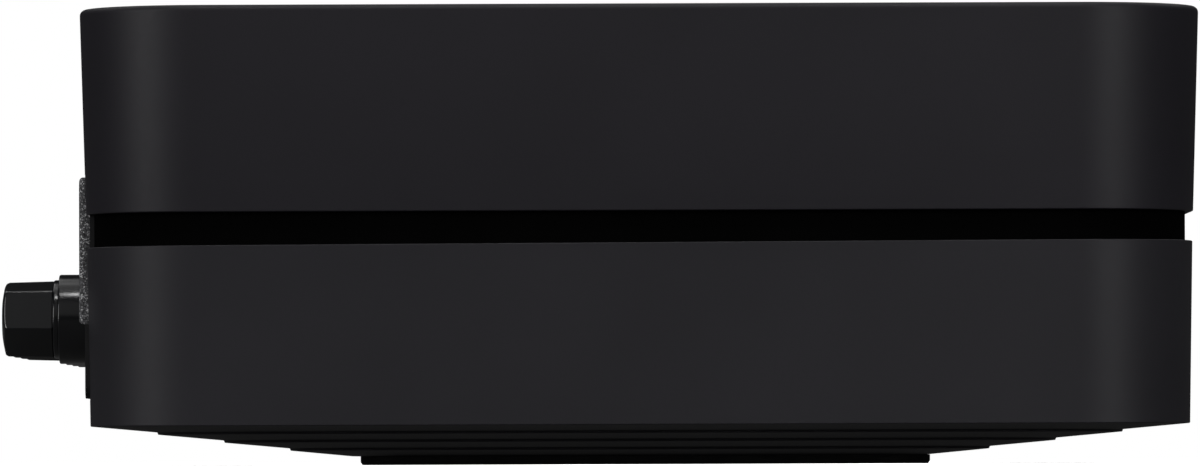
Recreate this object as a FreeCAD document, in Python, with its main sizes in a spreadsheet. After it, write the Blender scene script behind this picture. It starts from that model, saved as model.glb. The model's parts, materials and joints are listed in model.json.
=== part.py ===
"""Streaming amplifier: a two-part case with a slot round its waist, on a terraced base.

Millimetres. +X is to the right seen from the front, the front looks along -Y, +Z is up.
The origin is the middle of the outer box, on the surface that the foot rests on.
Every driving dimension is a cell of the sheet Sizes, and every piece is bound to those cells.
"""
import FreeCAD
import Part
import Sketcher
import math
import os

SIZES = (
    # case
    ("case_width", 220.0, "width over the upper rim"),
    ("case_depth", 175.6, "depth over the upper rim, without the terminals"),
    ("case_height", 71.5, "height over everything"),
    ("case_radius", 19.5, "corner radius of the upper rim, seen from above"),
    ("rim_radius", 1.0, "rounding of the upper rim"),
    ("wall", 2.2, "wall of cover and bottom case"),
    ("cover_slant", 1.7, "draft of the cover's walls, degrees"),
    ("base_slant", 0.95, "draft of the bottom case's walls, degrees"),
    ("slot_low", 34.75, "height of the slot's lower edge at the front"),
    ("slot_gap", 4.6, "height of the slot at the front"),
    ("slot_fall", 0.62, "how much lower that edge lies at the rear"),
    ("slot_recess", 1.3, "depth of the slot below the cover's wall"),
    ("fit_gap", 0.15, "gap round pieces that drop into cut-outs"),
    # underside
    ("band_width", 10.2, "width of each of the three outer terraces"),
    ("band_drop", 0.93, "fall across each terrace"),
    ("band_step", 0.35, "step from one terrace down to the next"),
    ("last_band", 9.7, "width of the innermost terrace"),
    ("ring_shrink", 2.5, "loss of corner radius from one terrace to the next"),
    ("foot_height", 1.4, "thickness of the foot"),
    ("foot_margin", 0.45, "flat of the underside that shows round the foot"),
    ("foot_radius", 8.0, "corner radius of the foot"),
    ("foot_forward", 0.9, "how far the foot lies in front of the middle of the case"),
    ("foot_round", 0.6, "rounding of the foot's lower edge"),
    # waist frame
    ("lip_height", 4.0, "reach of the frame into cover and bottom case"),
    ("lip_wall", 1.8, "wall of the frame's lips"),
    ("lip_gap", 0.1, "gap between a lip and the wall round it"),
    # columns and case screws
    ("column_gap", 1.0, "columns, from the power supply board"),
    ("column_y", 38.0, "columns, forward and back from the middle of the case"),
    ("column_radius", 4.4, "columns that the case screws run through"),
    ("screw_seat", 24.0, "height of the case screws' heads"),
    ("case_screw_length", 20.0, "shank of a case screw"),
    ("screw_radius", 1.5, "shank of the case and board screws"),
    ("screw_head_radius", 2.8, "head of the case and board screws"),
    ("screw_head_height", 1.9, "height of those heads"),
    ("screw_gap", 0.05, "gap round a screw's shank"),
    # boards
    ("board_level", 13.9, "height of the underside of the three boards"),
    ("board_wall", 1.6, "thickness of every board"),
    ("standoff_radius", 3.2, "standoffs under the boards"),
    ("board_screw_length", 5.0, "shank of a board screw below the board"),
    ("hole_inset", 4.5, "board screws, from the edges of the board"),
    ("main_hole_back", 28.0, "rear screws of the main board, from its rear edge"),
    ("supply_hole_back", 12.5, "rear screws of the power supply board, from its rear edge"),
    ("board_gap", 2.0, "main board, from the power supply board"),
    ("main_width", 78.4, "main board, side to side"),
    ("main_back", 5.65, "main board, rear edge in front of the upper rim"),
    ("main_length", 136.0, "main board, front to back"),
    ("board_margin", 6.0, "outer boards, from the sides of the case"),
    ("amp_gap", 3.0, "amplifier board, from the main board"),
    ("amp_back", 12.65, "amplifier board, the same way"),
    ("amp_length", 90.0, "amplifier board, front to back"),
    ("supply_width", 36.6, "power supply board, side to side"),
    ("supply_back", 12.15, "power supply board, the same way"),
    ("supply_length", 145.0, "power supply board, front to back"),
    # rear panel
    ("panel_margin", 18.0, "rear panel, from the sides of the case"),
    ("panel_low", 10.6, "rear panel, lower edge"),
    ("panel_top", 45.3, "rear panel, upper edge"),
    ("panel_wall", 3.0, "thickness of the rear panel at its lower zone"),
    ("panel_step", 22.3, "height at which the raised zone begins"),
    ("panel_relief", 0.93, "how far the raised zone stands out of the lower one"),
    ("panel_proud", 0.1, "raised zone behind the upper rim"),
    ("panel_round", 0.6, "rounding of the raised zone's upper edge"),
    ("panel_corner", 2.0, "corner radius of the rear panel"),
    ("panel_screw_inset", 4.0, "panel screws, from the ends of the panel"),
    ("panel_screw_low", 15.5, "lower panel screws"),
    ("panel_screw_high", 30.5, "upper panel screws"),
    ("panel_screw_radius", 1.25, "shank of a panel screw"),
    ("panel_screw_head", 2.3, "head radius of a panel screw"),
    ("panel_screw_sink", 1.3, "depth of the head below the lower zone"),
    ("panel_screw_short", 1.0, "pillar left behind the tip of a panel screw"),
    ("pillar_width", 7.0, "pillars that take the panel screws"),
    ("pillar_depth", 6.0, "front to back of those pillars"),
    # binding posts
    ("post_reach", 12.85, "tips of the knobs behind the upper rim"),
    ("post_level", 23.2, "height of the terminals' axes"),
    ("post_inset", 14.5, "first terminal, from the end of the panel"),
    ("post_pitch", 19.05, "spacing of the terminals, that of a double banana plug"),
    ("collar_radius", 7.05, "insulating collar"),
    ("collar_length", 4.7, "collar outside the panel"),
    ("collar_chamfer", 0.4, "chamfer of the collar"),
    ("neck_radius", 5.0, "collar's neck through the panel"),
    ("stem_radius", 3.0, "threaded stem"),
    ("stem_inside", 9.6, "stem behind the collar's seat"),
    ("stem_outside", 11.8, "stem beyond the collar's seat"),
    ("banana_radius", 2.0, "bore for a banana plug"),
    ("banana_depth", 16.0, "depth of that bore"),
    ("wire_radius", 1.5, "cross hole for bare wire"),
    ("wire_gap", 0.4, "cross hole, from the washer"),
    ("run_gap", 0.06, "running gap of knob and washer on the stem"),
    ("washer_wall", 0.87, "clamping washer"),
    ("washer_radius", 6.2, "clamping washer"),
    ("knob_radius", 6.3, "six-sided knob over its edges, at its inner end"),
    ("knob_slant", 1.3, "taper of the knob, degrees"),
    ("knob_turn", 45.0, "turn of the knob's edges about its axis, degrees"),
    ("dome_radius", 22.4, "dome on the knob's outer end"),
    ("dome_reach", 5.7, "radius at which the dome meets the edge chamfer"),
    ("edge_chamfer", 0.9, "chamfer of the knob's outer edge"),
    ("nut_radius", 4.5, "nut on the stem, over its edges"),
    ("nut_height", 2.4, "nut on the stem"),
    ("terminal_left", 5.0, "terminal board beyond the axis of the first stem"),
    ("terminal_right", 7.0, "terminal board beyond the axis of the last stem"),
    ("terminal_low", 12.6, "terminal board, lower edge"),
    ("terminal_high", 32.0, "terminal board, upper edge"),
    # sockets on the main board
    ("sub_out_place", 6.5, "subwoofer jack, from the main board's left edge"),
    ("phono_radius", 4.15, "sleeve of the subwoofer jack"),
    ("phono_collar", 4.9, "insulating collar of the subwoofer jack, through the panel"),
    ("collar_proud", 0.4, "that collar outside the panel"),
    ("phono_length", 9.0, "sleeve outside the panel"),
    ("phono_bore", 1.65, "bore of the subwoofer jack"),
    ("phono_body", 10.0, "housing of the subwoofer jack"),
    ("audio_in_place", 17.2, "audio input jack, the same way"),
    ("infrared_in_place", 27.0, "infrared input jack"),
    ("mini_body", 8.0, "housing of a 3.5 mm jack, side to side"),
    ("mini_rise", 6.4, "housing of a 3.5 mm jack, height"),
    ("mini_depth", 14.0, "housing and bore of a 3.5 mm jack"),
    ("mini_bore", 1.8, "bore of a 3.5 mm jack"),
    ("mini_collar", 3.0, "collar of a 3.5 mm jack"),
    ("hdmi_place", 39.8, "video link socket"),
    ("hdmi_width", 15.0, "video link socket, side to side"),
    ("hdmi_rise", 5.9, "video link socket, height"),
    ("hdmi_depth", 12.0, "video link socket, front to back"),
    ("usb_place", 55.6, "memory stick socket"),
    ("usb_width", 13.2, "memory stick socket, side to side"),
    ("usb_rise", 5.9, "memory stick socket, height"),
    ("usb_depth", 14.0, "memory stick socket, front to back"),
    ("shell_wall", 0.35, "sheet metal of the two flat sockets"),
    ("socket_end", 1.0, "closed end of sockets and jacks"),
    ("tongue_inset", 1.0, "contact tongues, from the mouth of their shell"),
    ("lan_place", 70.3, "network socket"),
    ("lan_width", 15.8, "network socket, side to side"),
    ("lan_rise", 13.4, "network socket, height"),
    ("lan_depth", 21.0, "network socket, front to back"),
    ("lan_mouth", 11.9, "network socket, mouth, side to side"),
    ("lan_mouth_rise", 7.0, "network socket, height of the mouth without the latch groove"),
    ("lan_mouth_depth", 14.0, "network socket, depth of the mouth"),
    # mains inlet
    ("inlet_gap", 0.3, "mains inlet, from the pillar beside it"),
    ("inlet_width", 18.0, "mains inlet, side to side"),
    ("inlet_rise", 12.0, "mains inlet, height"),
    ("inlet_depth", 20.0, "mains inlet, front to back"),
    ("inlet_mouth", 14.2, "mouth of the inlet, side to side"),
    ("inlet_mouth_rise", 8.0, "mouth of the inlet, height"),
    ("inlet_mouth_depth", 13.0, "depth of the mouth"),
    ("inlet_pin_radius", 1.2, "pins of the inlet"),
    ("inlet_pin_pitch", 8.6, "spacing of the pins"),
    ("inlet_pin_length", 9.0, "length of the pins in the mouth"),
    # headphone jack
    ("phones_inset", 32.0, "headphone jack, from the side of the case"),
    ("phones_level", 19.0, "height of the headphone jack's axis"),
    ("phones_board", 26.0, "headphone board, side to side"),
    ("phones_board_length", 22.0, "headphone board, front to back"),
    # touch field
    ("touch_width", 104.0, "touch glass, side to side"),
    ("touch_length", 28.0, "touch glass, front to back"),
    ("touch_back", 40.0, "middle of the touch glass, behind the front rim"),
    ("touch_glass", 0.9, "thickness of the touch glass"),
    ("touch_ledge", 2.0, "ledge that carries the touch glass"),
    ("touch_radius", 5.0, "corner radius of the touch glass"),
    ("guide_depth", 2.0, "light guide below the cover's inner face"),
    ("touch_margin", 4.0, "touch board beyond the touch glass"),
    # parts on the boards
    ("part_gap", 2.0, "between neighbouring parts on a board"),
    # heatsink and amplifier parts
    ("sink_front", 3.0, "heatsink, from the front edge of the amplifier board"),
    ("output_inset", 4.0, "output capacitors, from the rear edge of the amplifier board"),
    ("sink_gap", 0.9, "heatsink, from the screw heads beside it"),
    ("sink_length", 42.0, "heatsink, front to back"),
    ("sink_base", 4.5, "base plate of the heatsink"),
    ("sink_rise", 34.0, "height of the heatsink"),
    ("fin_wall", 1.4, "fin at its root"),
    ("fin_pitch", 5.6, "spacing of the fins"),
    ("fin_slant", 0.5, "taper of the fins, degrees"),
    ("chip_side", 11.0, "amplifier chips"),
    ("chip_rise", 1.2, "height of the amplifier chips"),
    ("coil_side", 15.0, "output inductors"),
    ("coil_rise", 12.0, "height of the output inductors"),
    ("film_width", 7.0, "output capacitors, side to side"),
    ("film_length", 4.5, "output capacitors, front to back"),
    ("film_rise", 9.0, "height of the output capacitors"),
    # power supply parts
    ("core_width", 30.0, "transformer, side to side"),
    ("core_length", 32.0, "transformer, front to back"),
    ("core_rise", 27.0, "height of the transformer"),
    ("winding_radius", 11.5, "winding of the transformer"),
    ("bulk_radius", 8.0, "mains capacitors"),
    ("bulk_rise", 31.0, "height of the mains capacitors"),
    ("store_radius", 6.2, "supply capacitors"),
    ("store_rise", 25.0, "height of the supply capacitors"),
    ("choke_radius", 9.0, "filter choke"),
    ("choke_wire", 4.0, "half the thickness of the choke's ring"),
    ("plate_rise", 28.0, "height of the supply's cooling plate"),
    ("plate_wall", 2.5, "thickness of the supply's cooling plate"),
    ("switch_side", 10.0, "switching transistors"),
    ("switch_wall", 4.4, "thickness of the switching transistors"),
    ("fuse_radius", 2.6, "mains fuse"),
    ("fuse_length", 20.0, "mains fuse"),
    # main board parts
    ("module_side", 42.0, "processor module"),
    ("module_back", 12.0, "processor module, from the network socket"),
    ("module_lift", 3.0, "processor module above the main board"),
    ("shield_wall", 0.3, "sheet of the shield"),
    ("shield_rise", 4.5, "height of the shield over the module"),
    ("radio_front", 9.0, "radio module, from the front edge of the main board"),
    ("radio_width", 15.0, "radio module, side to side"),
    ("radio_length", 20.0, "radio module, front to back"),
    ("radio_rise", 2.6, "height of the radio module"),
    ("antenna_length", 38.0, "antennas"),
    ("antenna_rise", 7.0, "height of the antennas"),
    ("antenna_wall", 0.8, "thickness of the antennas"),
    ("antenna_inset", 6.0, "antennas, from the case's front corners"),
    ("antenna_lift", 4.0, "antennas, above the waist frame"),
    ("eye_radius", 2.5, "lens of the infrared receiver"),
    ("eye_side", 6.0, "housing of the infrared receiver"),
)
TERRACES = 4
POSTS = 4
# how far from a wall its cutters start, and how far they reach past what they cut
OUT_OF_WALL = 6.0
PAST = 1.0

doc = FreeCAD.newDocument("StreamingAmplifier")
sheet = doc.addObject("Spreadsheet::Sheet", "Sizes")
for row, (alias, value, meaning) in enumerate(SIZES, 1):
    sheet.set(f"A{row}", alias)
    sheet.set(f"B{row}", str(value))
    sheet.set(f"C{row}", meaning)
    sheet.setAlias(f"B{row}", alias)
doc.recompute()


class Formula:
    """A length or angle: the expression that binds it to the sheet, and its present value."""

    def __init__(self, text, value):
        self.text = text
        self.value = value

    def __add__(self, other):
        other = formula(other)
        return Formula(f"({self.text} + {other.text})", self.value + other.value)

    def __sub__(self, other):
        other = formula(other)
        return Formula(f"({self.text} - {other.text})", self.value - other.value)

    def __mul__(self, other):
        other = formula(other)
        return Formula(f"({self.text} * {other.text})", self.value * other.value)

    def __truediv__(self, other):
        other = formula(other)
        return Formula(f"({self.text} / {other.text})", self.value / other.value)

    def __radd__(self, other):
        return formula(other) + self

    def __rsub__(self, other):
        return formula(other) - self

    def __rmul__(self, other):
        return formula(other) * self

    def __neg__(self):
        return Formula(f"(-1 * {self.text})", -self.value)


def formula(thing):
    return thing if isinstance(thing, Formula) else Formula(f"({thing:.9g})", float(thing))


def tangent(angle):
    return Formula(f"tan({angle.text})", math.tan(math.radians(angle.value)))


def sine(angle):
    angle = formula(angle)
    return Formula(f"sin({angle.text})", math.sin(math.radians(angle.value)))


def cosine(angle):
    angle = formula(angle)
    return Formula(f"cos({angle.text})", math.cos(math.radians(angle.value)))


class Cells:
    """Gives each cell of the sheet as a Formula, by its alias."""

    def __getattr__(self, alias):
        return Formula(f"Sizes.{alias}", float(sheet.get(alias)))


size = Cells()

# planes and outlines that several pieces share
MIDDLE = -size.post_reach / 2
FRONT_RIM = MIDDLE - size.case_depth / 2
REAR_RIM = MIDDLE + size.case_depth / 2
SLOT_TOP = size.slot_low + size.slot_gap
COVER_INSET = (size.case_height - SLOT_TOP) * tangent(size.cover_slant)
BASE_INSET = COVER_INSET + size.slot_gap * tangent(size.cover_slant)
BASE_EDGE = size.foot_height + TERRACES * size.band_drop + (TERRACES - 1) * size.band_step
EDGE_INSET = BASE_INSET + (size.slot_low - BASE_EDGE) * tangent(size.base_slant)
COVER_CAVITY = COVER_INSET + size.wall
BASE_CAVITY = EDGE_INSET + size.wall
CEILING = size.case_height - size.wall
FLOOR = BASE_EDGE + size.wall
WELL = size.foot_height + size.wall
PLATEAU_INSET = EDGE_INSET + (TERRACES - 1) * size.band_width + size.last_band
FOOT_INSET = PLATEAU_INSET + size.foot_margin
FOOT_WIDTH = size.case_width - 2 * FOOT_INSET
FOOT_LENGTH = size.case_depth - 2 * FOOT_INSET
SUPPLY_LEFT = size.case_width / 2 - size.board_margin - size.supply_width
MAIN_LEFT = SUPPLY_LEFT - size.board_gap - size.main_width
AMP_LEFT = -size.case_width / 2 + size.board_margin
AMP_WIDTH = MAIN_LEFT - size.amp_gap - AMP_LEFT
MAIN_BACK = REAR_RIM - size.main_back
AMP_BACK = REAR_RIM - size.amp_back
SUPPLY_BACK = REAR_RIM - size.supply_back
BOARD_TOP = size.board_level + size.board_wall
PANEL_WIDTH = size.case_width - 2 * size.panel_margin
PANEL_SCREW_X = PANEL_WIDTH / 2 - size.panel_screw_inset
PANEL_RAISED = REAR_RIM + size.panel_proud
PANEL_FACE = PANEL_RAISED - size.panel_relief
PANEL_INNER = PANEL_FACE - size.panel_wall
COLLAR_END = PANEL_FACE + size.collar_length
WASHER_END = COLLAR_END + size.washer_wall
KNOB_BORE = size.stem_radius + size.run_gap
KNOB_SAG = KNOB_BORE * KNOB_BORE / (2 * size.dome_radius)
KNOB_LENGTH = REAR_RIM + size.post_reach - WASHER_END + KNOB_SAG
TOUCH_Y = FRONT_RIM + size.touch_back
MINI_LEVEL = BOARD_TOP + size.mini_rise / 2
POST_FIRST = -PANEL_WIDTH / 2 + size.post_inset
POST_X = [POST_FIRST + number * size.post_pitch for number in range(POSTS)]
SUB_OUT_X = MAIN_LEFT + size.sub_out_place
AUDIO_IN_X = MAIN_LEFT + size.audio_in_place
INFRARED_IN_X = MAIN_LEFT + size.infrared_in_place
HDMI_X = MAIN_LEFT + size.hdmi_place
USB_X = MAIN_LEFT + size.usb_place
LAN_X = MAIN_LEFT + size.lan_place
INLET_X = PANEL_SCREW_X - size.pillar_width / 2 - size.inlet_gap - size.inlet_width / 2
PHONES_X = -size.case_width / 2 + size.phones_inset
COLUMN_X = SUPPLY_LEFT - size.column_gap - size.column_radius
COLUMNS = [(side * COLUMN_X, MIDDLE + end * size.column_y) for side in (-1, 1) for end in (-1, 1)]

ALONG = {
    "x": FreeCAD.Rotation(FreeCAD.Vector(0, 1, 0), 90),
    "y": FreeCAD.Rotation(FreeCAD.Vector(1, 0, 0), -90),
    "z": FreeCAD.Rotation(),
    "front": FreeCAD.Rotation(FreeCAD.Vector(1, 0, 0), 90),
}
pieces = {}


# placing and combining

def bind(thing, **formulas):
    for prop, value in formulas.items():
        thing.setExpression(prop, formula(value).text)


def place(thing, x, y, z, along="z"):
    thing.Placement = FreeCAD.Placement(FreeCAD.Vector(), ALONG[along])
    for axis, value in zip("xyz", (x, y, z)):
        thing.setExpression(f"Placement.Base.{axis}", formula(value).text)


def piece(label, thing):
    """Records a finished sub-part under the name of its file."""
    thing.Label = label
    pieces[label] = thing
    return thing


def box(low, span):
    solid = doc.addObject("Part::Box", "Block")
    bind(solid, Length=span[0], Width=span[1], Height=span[2])
    place(solid, *low)
    return solid


def centred_box(x, y, z, width, length, rise):
    """A block by the middle of its underside."""
    return box((x - width / 2, y - length / 2, z), (width, length, rise))


def rod(x, y, z, radius, length, along="z"):
    solid = doc.addObject("Part::Cylinder", "Rod")
    bind(solid, Radius=radius, Height=length)
    place(solid, x, y, z, along)
    return solid


def fuse(*parts):
    joined = doc.addObject("Part::MultiFuse", "Joined")
    joined.Shapes = list(parts)
    joined.Refine = True
    return joined


def cut(base, *tools):
    result = doc.addObject("Part::Cut", "Cut")
    result.Base = base
    result.Tool = tools[0] if len(tools) == 1 else fuse(*tools)
    return result


def group(parts):
    result = doc.addObject("Part::Compound", "Group")
    result.Links = list(parts)
    return result


# sketches

def new_body(x=0, y=0, z=0, along="z"):
    body = doc.addObject("PartDesign::Body", "Body")
    place(body, x, y, z, along)
    return body


def sketch(body, role="XY_Plane", height=0):
    """A sketch on one of the body's own planes, moved along its normal by height."""
    drawing = body.newObject("Sketcher::SketchObject", "Sketch")
    plane = [feature for feature in body.Origin.OriginFeatures if feature.Role == role][0]
    drawing.AttachmentSupport = [(plane, "")]
    drawing.MapMode = "FlatFace"
    drawing.setExpression("AttachmentOffset.Base.z", formula(height).text)
    return drawing


def dimension(drawing, kind, places, value):
    index = drawing.addConstraint(Sketcher.Constraint(kind, *places, value.value))
    drawing.setExpression(f"Constraints[{index}]", value.text)


def pin(drawing, geometry, point, x, y):
    """Ties a point of the sketch to its two coordinates."""
    for kind, value, axis in (("DistanceX", formula(x), -2), ("DistanceY", formula(y), -1)):
        if abs(value.value) < 1e-9:
            drawing.addConstraint(Sketcher.Constraint("PointOnObject", geometry, point, axis))
        else:
            dimension(drawing, kind, (-1, 1, geometry, point), value)


def circle(drawing, x, y, radius):
    x, y, radius = formula(x), formula(y), formula(radius)
    centre = FreeCAD.Vector(x.value, y.value, 0)
    ring = drawing.addGeometry(Part.Circle(centre, FreeCAD.Vector(0, 0, 1), radius.value), False)
    dimension(drawing, "Radius", (ring,), radius)
    pin(drawing, ring, 3, x, y)


def profile(drawing, points, arcs=()):
    """A closed outline through the points; arcs gives (index, radius, bulge) of round stretches.

    A round stretch runs from its point to the next; bulge is +1 where it turns left, else -1.
    """
    points = [(formula(x), formula(y)) for x, y in points]
    corners = [FreeCAD.Vector(x.value, y.value, 0) for x, y in points]
    round_at = {index: (formula(radius), bulge) for index, radius, bulge in arcs}
    first = drawing.GeometryCount
    ends = []
    for index, start in enumerate(corners):
        stop = corners[(index + 1) % len(corners)]
        if index not in round_at:
            drawing.addGeometry(Part.LineSegment(start, stop), False)
            ends.append((1, 2))
            continue
        radius, bulge = round_at[index]
        chord = stop - start
        rise = math.sqrt(max(radius.value ** 2 - chord.Length ** 2 / 4, 0))
        side = FreeCAD.Vector(-chord.y, chord.x, 0).normalize()
        centre = (start + stop) / 2 + side * rise * bulge
        low, high = (start, stop) if bulge > 0 else (stop, start)
        angles = [math.atan2(end.y - centre.y, end.x - centre.x) for end in (low, high)]
        if angles[1] < angles[0]:
            angles[1] += 2 * math.pi
        ring = Part.Circle(centre, FreeCAD.Vector(0, 0, 1), radius.value)
        drawing.addGeometry(Part.ArcOfCircle(ring, *angles), False)
        ends.append((1, 2) if bulge > 0 else (2, 1))
    for index in range(len(corners)):
        following = (index + 1) % len(corners)
        joint = (first + index, ends[index][1], first + following, ends[following][0])
        drawing.addConstraint(Sketcher.Constraint("Coincident", *joint))
        pin(drawing, first + index, ends[index][0], *points[index])
        if index in round_at:
            dimension(drawing, "Radius", (first + index,), round_at[index][0])


def rectangle(drawing, x, y, width, length):
    """A rectangle by its middle."""
    left, right = x - width / 2, x + width / 2
    low, high = y - length / 2, y + length / 2
    profile(drawing, [(left, low), (right, low), (right, high), (left, high)])


def rounded(drawing, x, y, width, length, radius):
    """A rectangle with round corners, by its middle."""
    x, y = formula(x), formula(y)
    left, right = x - width / 2, x + width / 2
    low, high = y - length / 2, y + length / 2
    points = [
        (left + radius, low), (right - radius, low), (right, low + radius), (right, high - radius),
        (right - radius, high), (left + radius, high), (left, high - radius), (left, low + radius),
    ]
    profile(drawing, points, [(corner, radius, 1) for corner in (1, 3, 5, 7)])


def case_outline(drawing, inset, radius=None):
    """The outline of the case, drawn in by inset all round."""
    width = size.case_width - 2 * inset
    length = size.case_depth - 2 * inset
    rounded(drawing, 0, MIDDLE, width, length, size.case_radius - inset if radius is None else radius)


# features

def extrude(body, kind, drawing, length, back=False, slant=None, middle=False):
    feature = body.newObject(f"PartDesign::{kind}", kind)
    feature.Profile = drawing
    bind(feature, Length=length)
    feature.Reversed = back
    if slant is not None:
        bind(feature, TaperAngle=slant)
    if middle:
        feature.SideType = "Symmetric"
    body.Tip = feature
    return feature


def pad(body, drawing, length, **options):
    return extrude(body, "Pad", drawing, length, **options)


def pocket(body, drawing, length, **options):
    return extrude(body, "Pocket", drawing, length, **options)


def turn(body, drawing, kind="Revolution"):
    """A full turn of the sketch about its own upright axis."""
    feature = body.newObject(f"PartDesign::{kind}", kind)
    feature.Profile = drawing
    feature.ReferenceAxis = (drawing, ["V_Axis"])
    feature.Angle = 360
    body.Tip = feature
    return feature


def round_edges(body, radius, chosen):
    """Rounds the edges of the body's tip for which chosen(edge) is true."""
    doc.recompute()
    base = body.Tip
    names = [f"Edge{number}" for number, edge in enumerate(base.Shape.Edges, 1) if chosen(edge)]
    feature = body.newObject("PartDesign::Fillet", "Fillet")
    feature.Base = (base, names)
    bind(feature, Radius=radius)
    body.Tip = feature
    return feature


def level(edge, height, axis="z"):
    """True where the whole edge lies at this height of the body."""
    values = [getattr(vertex.Point, axis) for vertex in edge.Vertexes]
    return all(abs(value - formula(height).value) < 1e-6 for value in values)


# case

def rear_opening(body, low, high, depth_at):
    """Cuts the rear panel's opening through the rear wall."""
    drawing = sketch(body, "XZ_Plane", -depth_at)
    rectangle(drawing, formula(0), (low + high) / 2, PANEL_WIDTH + 2 * size.fit_gap, high - low)
    pocket(body, drawing, 2 * OUT_OF_WALL + size.wall, middle=True)


def slot_slope(body, limit):
    """Cuts along the slot's lower edge, which falls to the rear, on the side where limit lies."""
    drawing = sketch(body, "YZ_Plane")
    points = [(FRONT_RIM, size.slot_low), (REAR_RIM, size.slot_low - size.slot_fall), (REAR_RIM, limit),
              (FRONT_RIM, limit)]
    profile(drawing, points)
    pocket(body, drawing, size.case_width, middle=True)


def top_cover():
    body = new_body()
    drawing = sketch(body, height=size.case_height)
    case_outline(drawing, formula(0))
    pad(body, drawing, size.case_height - SLOT_TOP, back=True, slant=-size.cover_slant)
    round_edges(body, size.rim_radius, lambda edge: level(edge, size.case_height))
    drawing = sketch(body, height=SLOT_TOP)
    case_outline(drawing, COVER_CAVITY)
    pocket(body, drawing, CEILING - SLOT_TOP, back=True)
    drawing = sketch(body, height=size.case_height)
    rounded(drawing, 0, TOUCH_Y, size.touch_width, size.touch_length, size.touch_radius)
    pocket(body, drawing, size.touch_glass)
    drawing = sketch(body, height=size.case_height)
    ledge = 2 * size.touch_ledge
    inner_radius = size.touch_radius - size.touch_ledge
    rounded(drawing, 0, TOUCH_Y, size.touch_width - ledge, size.touch_length - ledge, inner_radius)
    pocket(body, drawing, size.wall + size.rim_radius)
    drawing = sketch(body, height=CEILING + size.wall / 2)
    for x, y in COLUMNS:
        circle(drawing, x, y, size.column_radius)
    pad(body, drawing, CEILING + size.wall / 2 - size.slot_low, back=True)
    drawing = sketch(body, height=size.slot_low)
    for x, y in COLUMNS:
        circle(drawing, x, y, size.screw_radius + size.screw_gap)
    pocket(body, drawing, size.case_screw_length, back=True)
    rear_opening(body, SLOT_TOP - PAST, size.panel_top + size.fit_gap, REAR_RIM - COVER_INSET)
    return piece("top_cover", body)


def waist_frame():
    body = new_body()
    inner = BASE_CAVITY + size.lip_gap + size.lip_wall
    lowest = size.slot_low - size.slot_fall - size.lip_height
    rings = (
        (size.slot_low - size.slot_fall, size.slot_gap + size.slot_fall, COVER_INSET + size.slot_recess),
        (SLOT_TOP, size.lip_height, COVER_CAVITY + size.lip_gap),
        (lowest, size.lip_height + size.slot_fall, BASE_CAVITY + size.lip_gap),
    )
    for height, rise, outer in rings:
        drawing = sketch(body, height=height)
        case_outline(drawing, outer)
        case_outline(drawing, inner)
        pad(body, drawing, rise)
        if height is rings[0][0]:
            slot_slope(body, lowest)
    rear_opening(body, lowest - PAST, size.panel_top + size.fit_gap, REAR_RIM - COVER_INSET)
    return piece("waist_frame", body)


def board_holes(left, back, width, length, rear_inset):
    """The four screw places of a board."""
    inset = size.hole_inset
    sides = (left + inset, left + width - inset)
    ends = (back - rear_inset, back - length + inset)
    return [(x, y) for x in sides for y in ends]


BOARDS = {
    "main_board": (MAIN_LEFT, MAIN_BACK, size.main_width, size.main_length, size.main_hole_back),
    "amplifier_board": (AMP_LEFT, AMP_BACK, AMP_WIDTH, size.amp_length, size.hole_inset),
    "power_supply_board": (SUPPLY_LEFT, SUPPLY_BACK, size.supply_width, size.supply_length,
                           size.supply_hole_back),
}


def bottom_case():
    body = new_body()
    drawing = sketch(body, height=size.slot_low)
    case_outline(drawing, BASE_INSET)
    pad(body, drawing, size.slot_low - BASE_EDGE, back=True, slant=-size.base_slant)
    slot_slope(body, size.slot_low + PAST)
    inset = EDGE_INSET
    radius = size.case_radius - EDGE_INSET
    height = BASE_EDGE
    for terrace in range(TERRACES):
        width = size.band_width if terrace < TERRACES - 1 else size.last_band
        outer = sketch(body, height=height)
        case_outline(outer, inset, radius)
        inset = inset + width
        radius = radius - size.ring_shrink
        height = height - size.band_drop
        inner = sketch(body, height=height)
        case_outline(inner, inset, radius)
        loft = body.newObject("PartDesign::AdditiveLoft", "Terrace")
        loft.Profile = outer
        loft.Sections = [inner]
        loft.Ruled = True
        body.Tip = loft
        if terrace < TERRACES - 1:
            drawing = sketch(body, height=height)
            case_outline(drawing, inset, radius)
            pad(body, drawing, size.band_step, back=True)
            height = height - size.band_step
    drawing = sketch(body, height=size.slot_low)
    case_outline(drawing, BASE_CAVITY)
    pocket(body, drawing, size.slot_low - FLOOR)
    drawing = sketch(body, height=FLOOR)
    case_outline(drawing, PLATEAU_INSET, radius)
    pocket(body, drawing, FLOOR - WELL)
    standoffs(body)
    drawing = sketch(body, height=WELL - size.wall / 2)
    for x, y in COLUMNS:
        circle(drawing, x, y, size.column_radius)
    pad(body, drawing, size.slot_low - WELL + size.wall / 2)
    drawing = sketch(body, height=size.foot_height)
    for x, y in COLUMNS:
        circle(drawing, x, y, size.screw_head_radius + size.fit_gap)
    pocket(body, drawing, size.screw_seat - size.foot_height, back=True)
    drawing = sketch(body, height=size.slot_low)
    for x, y in COLUMNS:
        circle(drawing, x, y, size.screw_radius + size.screw_gap)
    pocket(body, drawing, size.slot_low - size.foot_height)
    pillars(body)
    low = size.panel_low - size.fit_gap
    middle = REAR_RIM - BASE_INSET + OUT_OF_WALL - size.wall - PAST / 2
    rear_opening(body, low, size.slot_low + PAST, middle)
    drawing = sketch(body, "XZ_Plane", -FRONT_RIM)
    circle(drawing, PHONES_X, size.phones_level, size.mini_collar + size.fit_gap)
    pocket(body, drawing, 4 * size.wall, middle=True)
    return piece("bottom_case", body)


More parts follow.
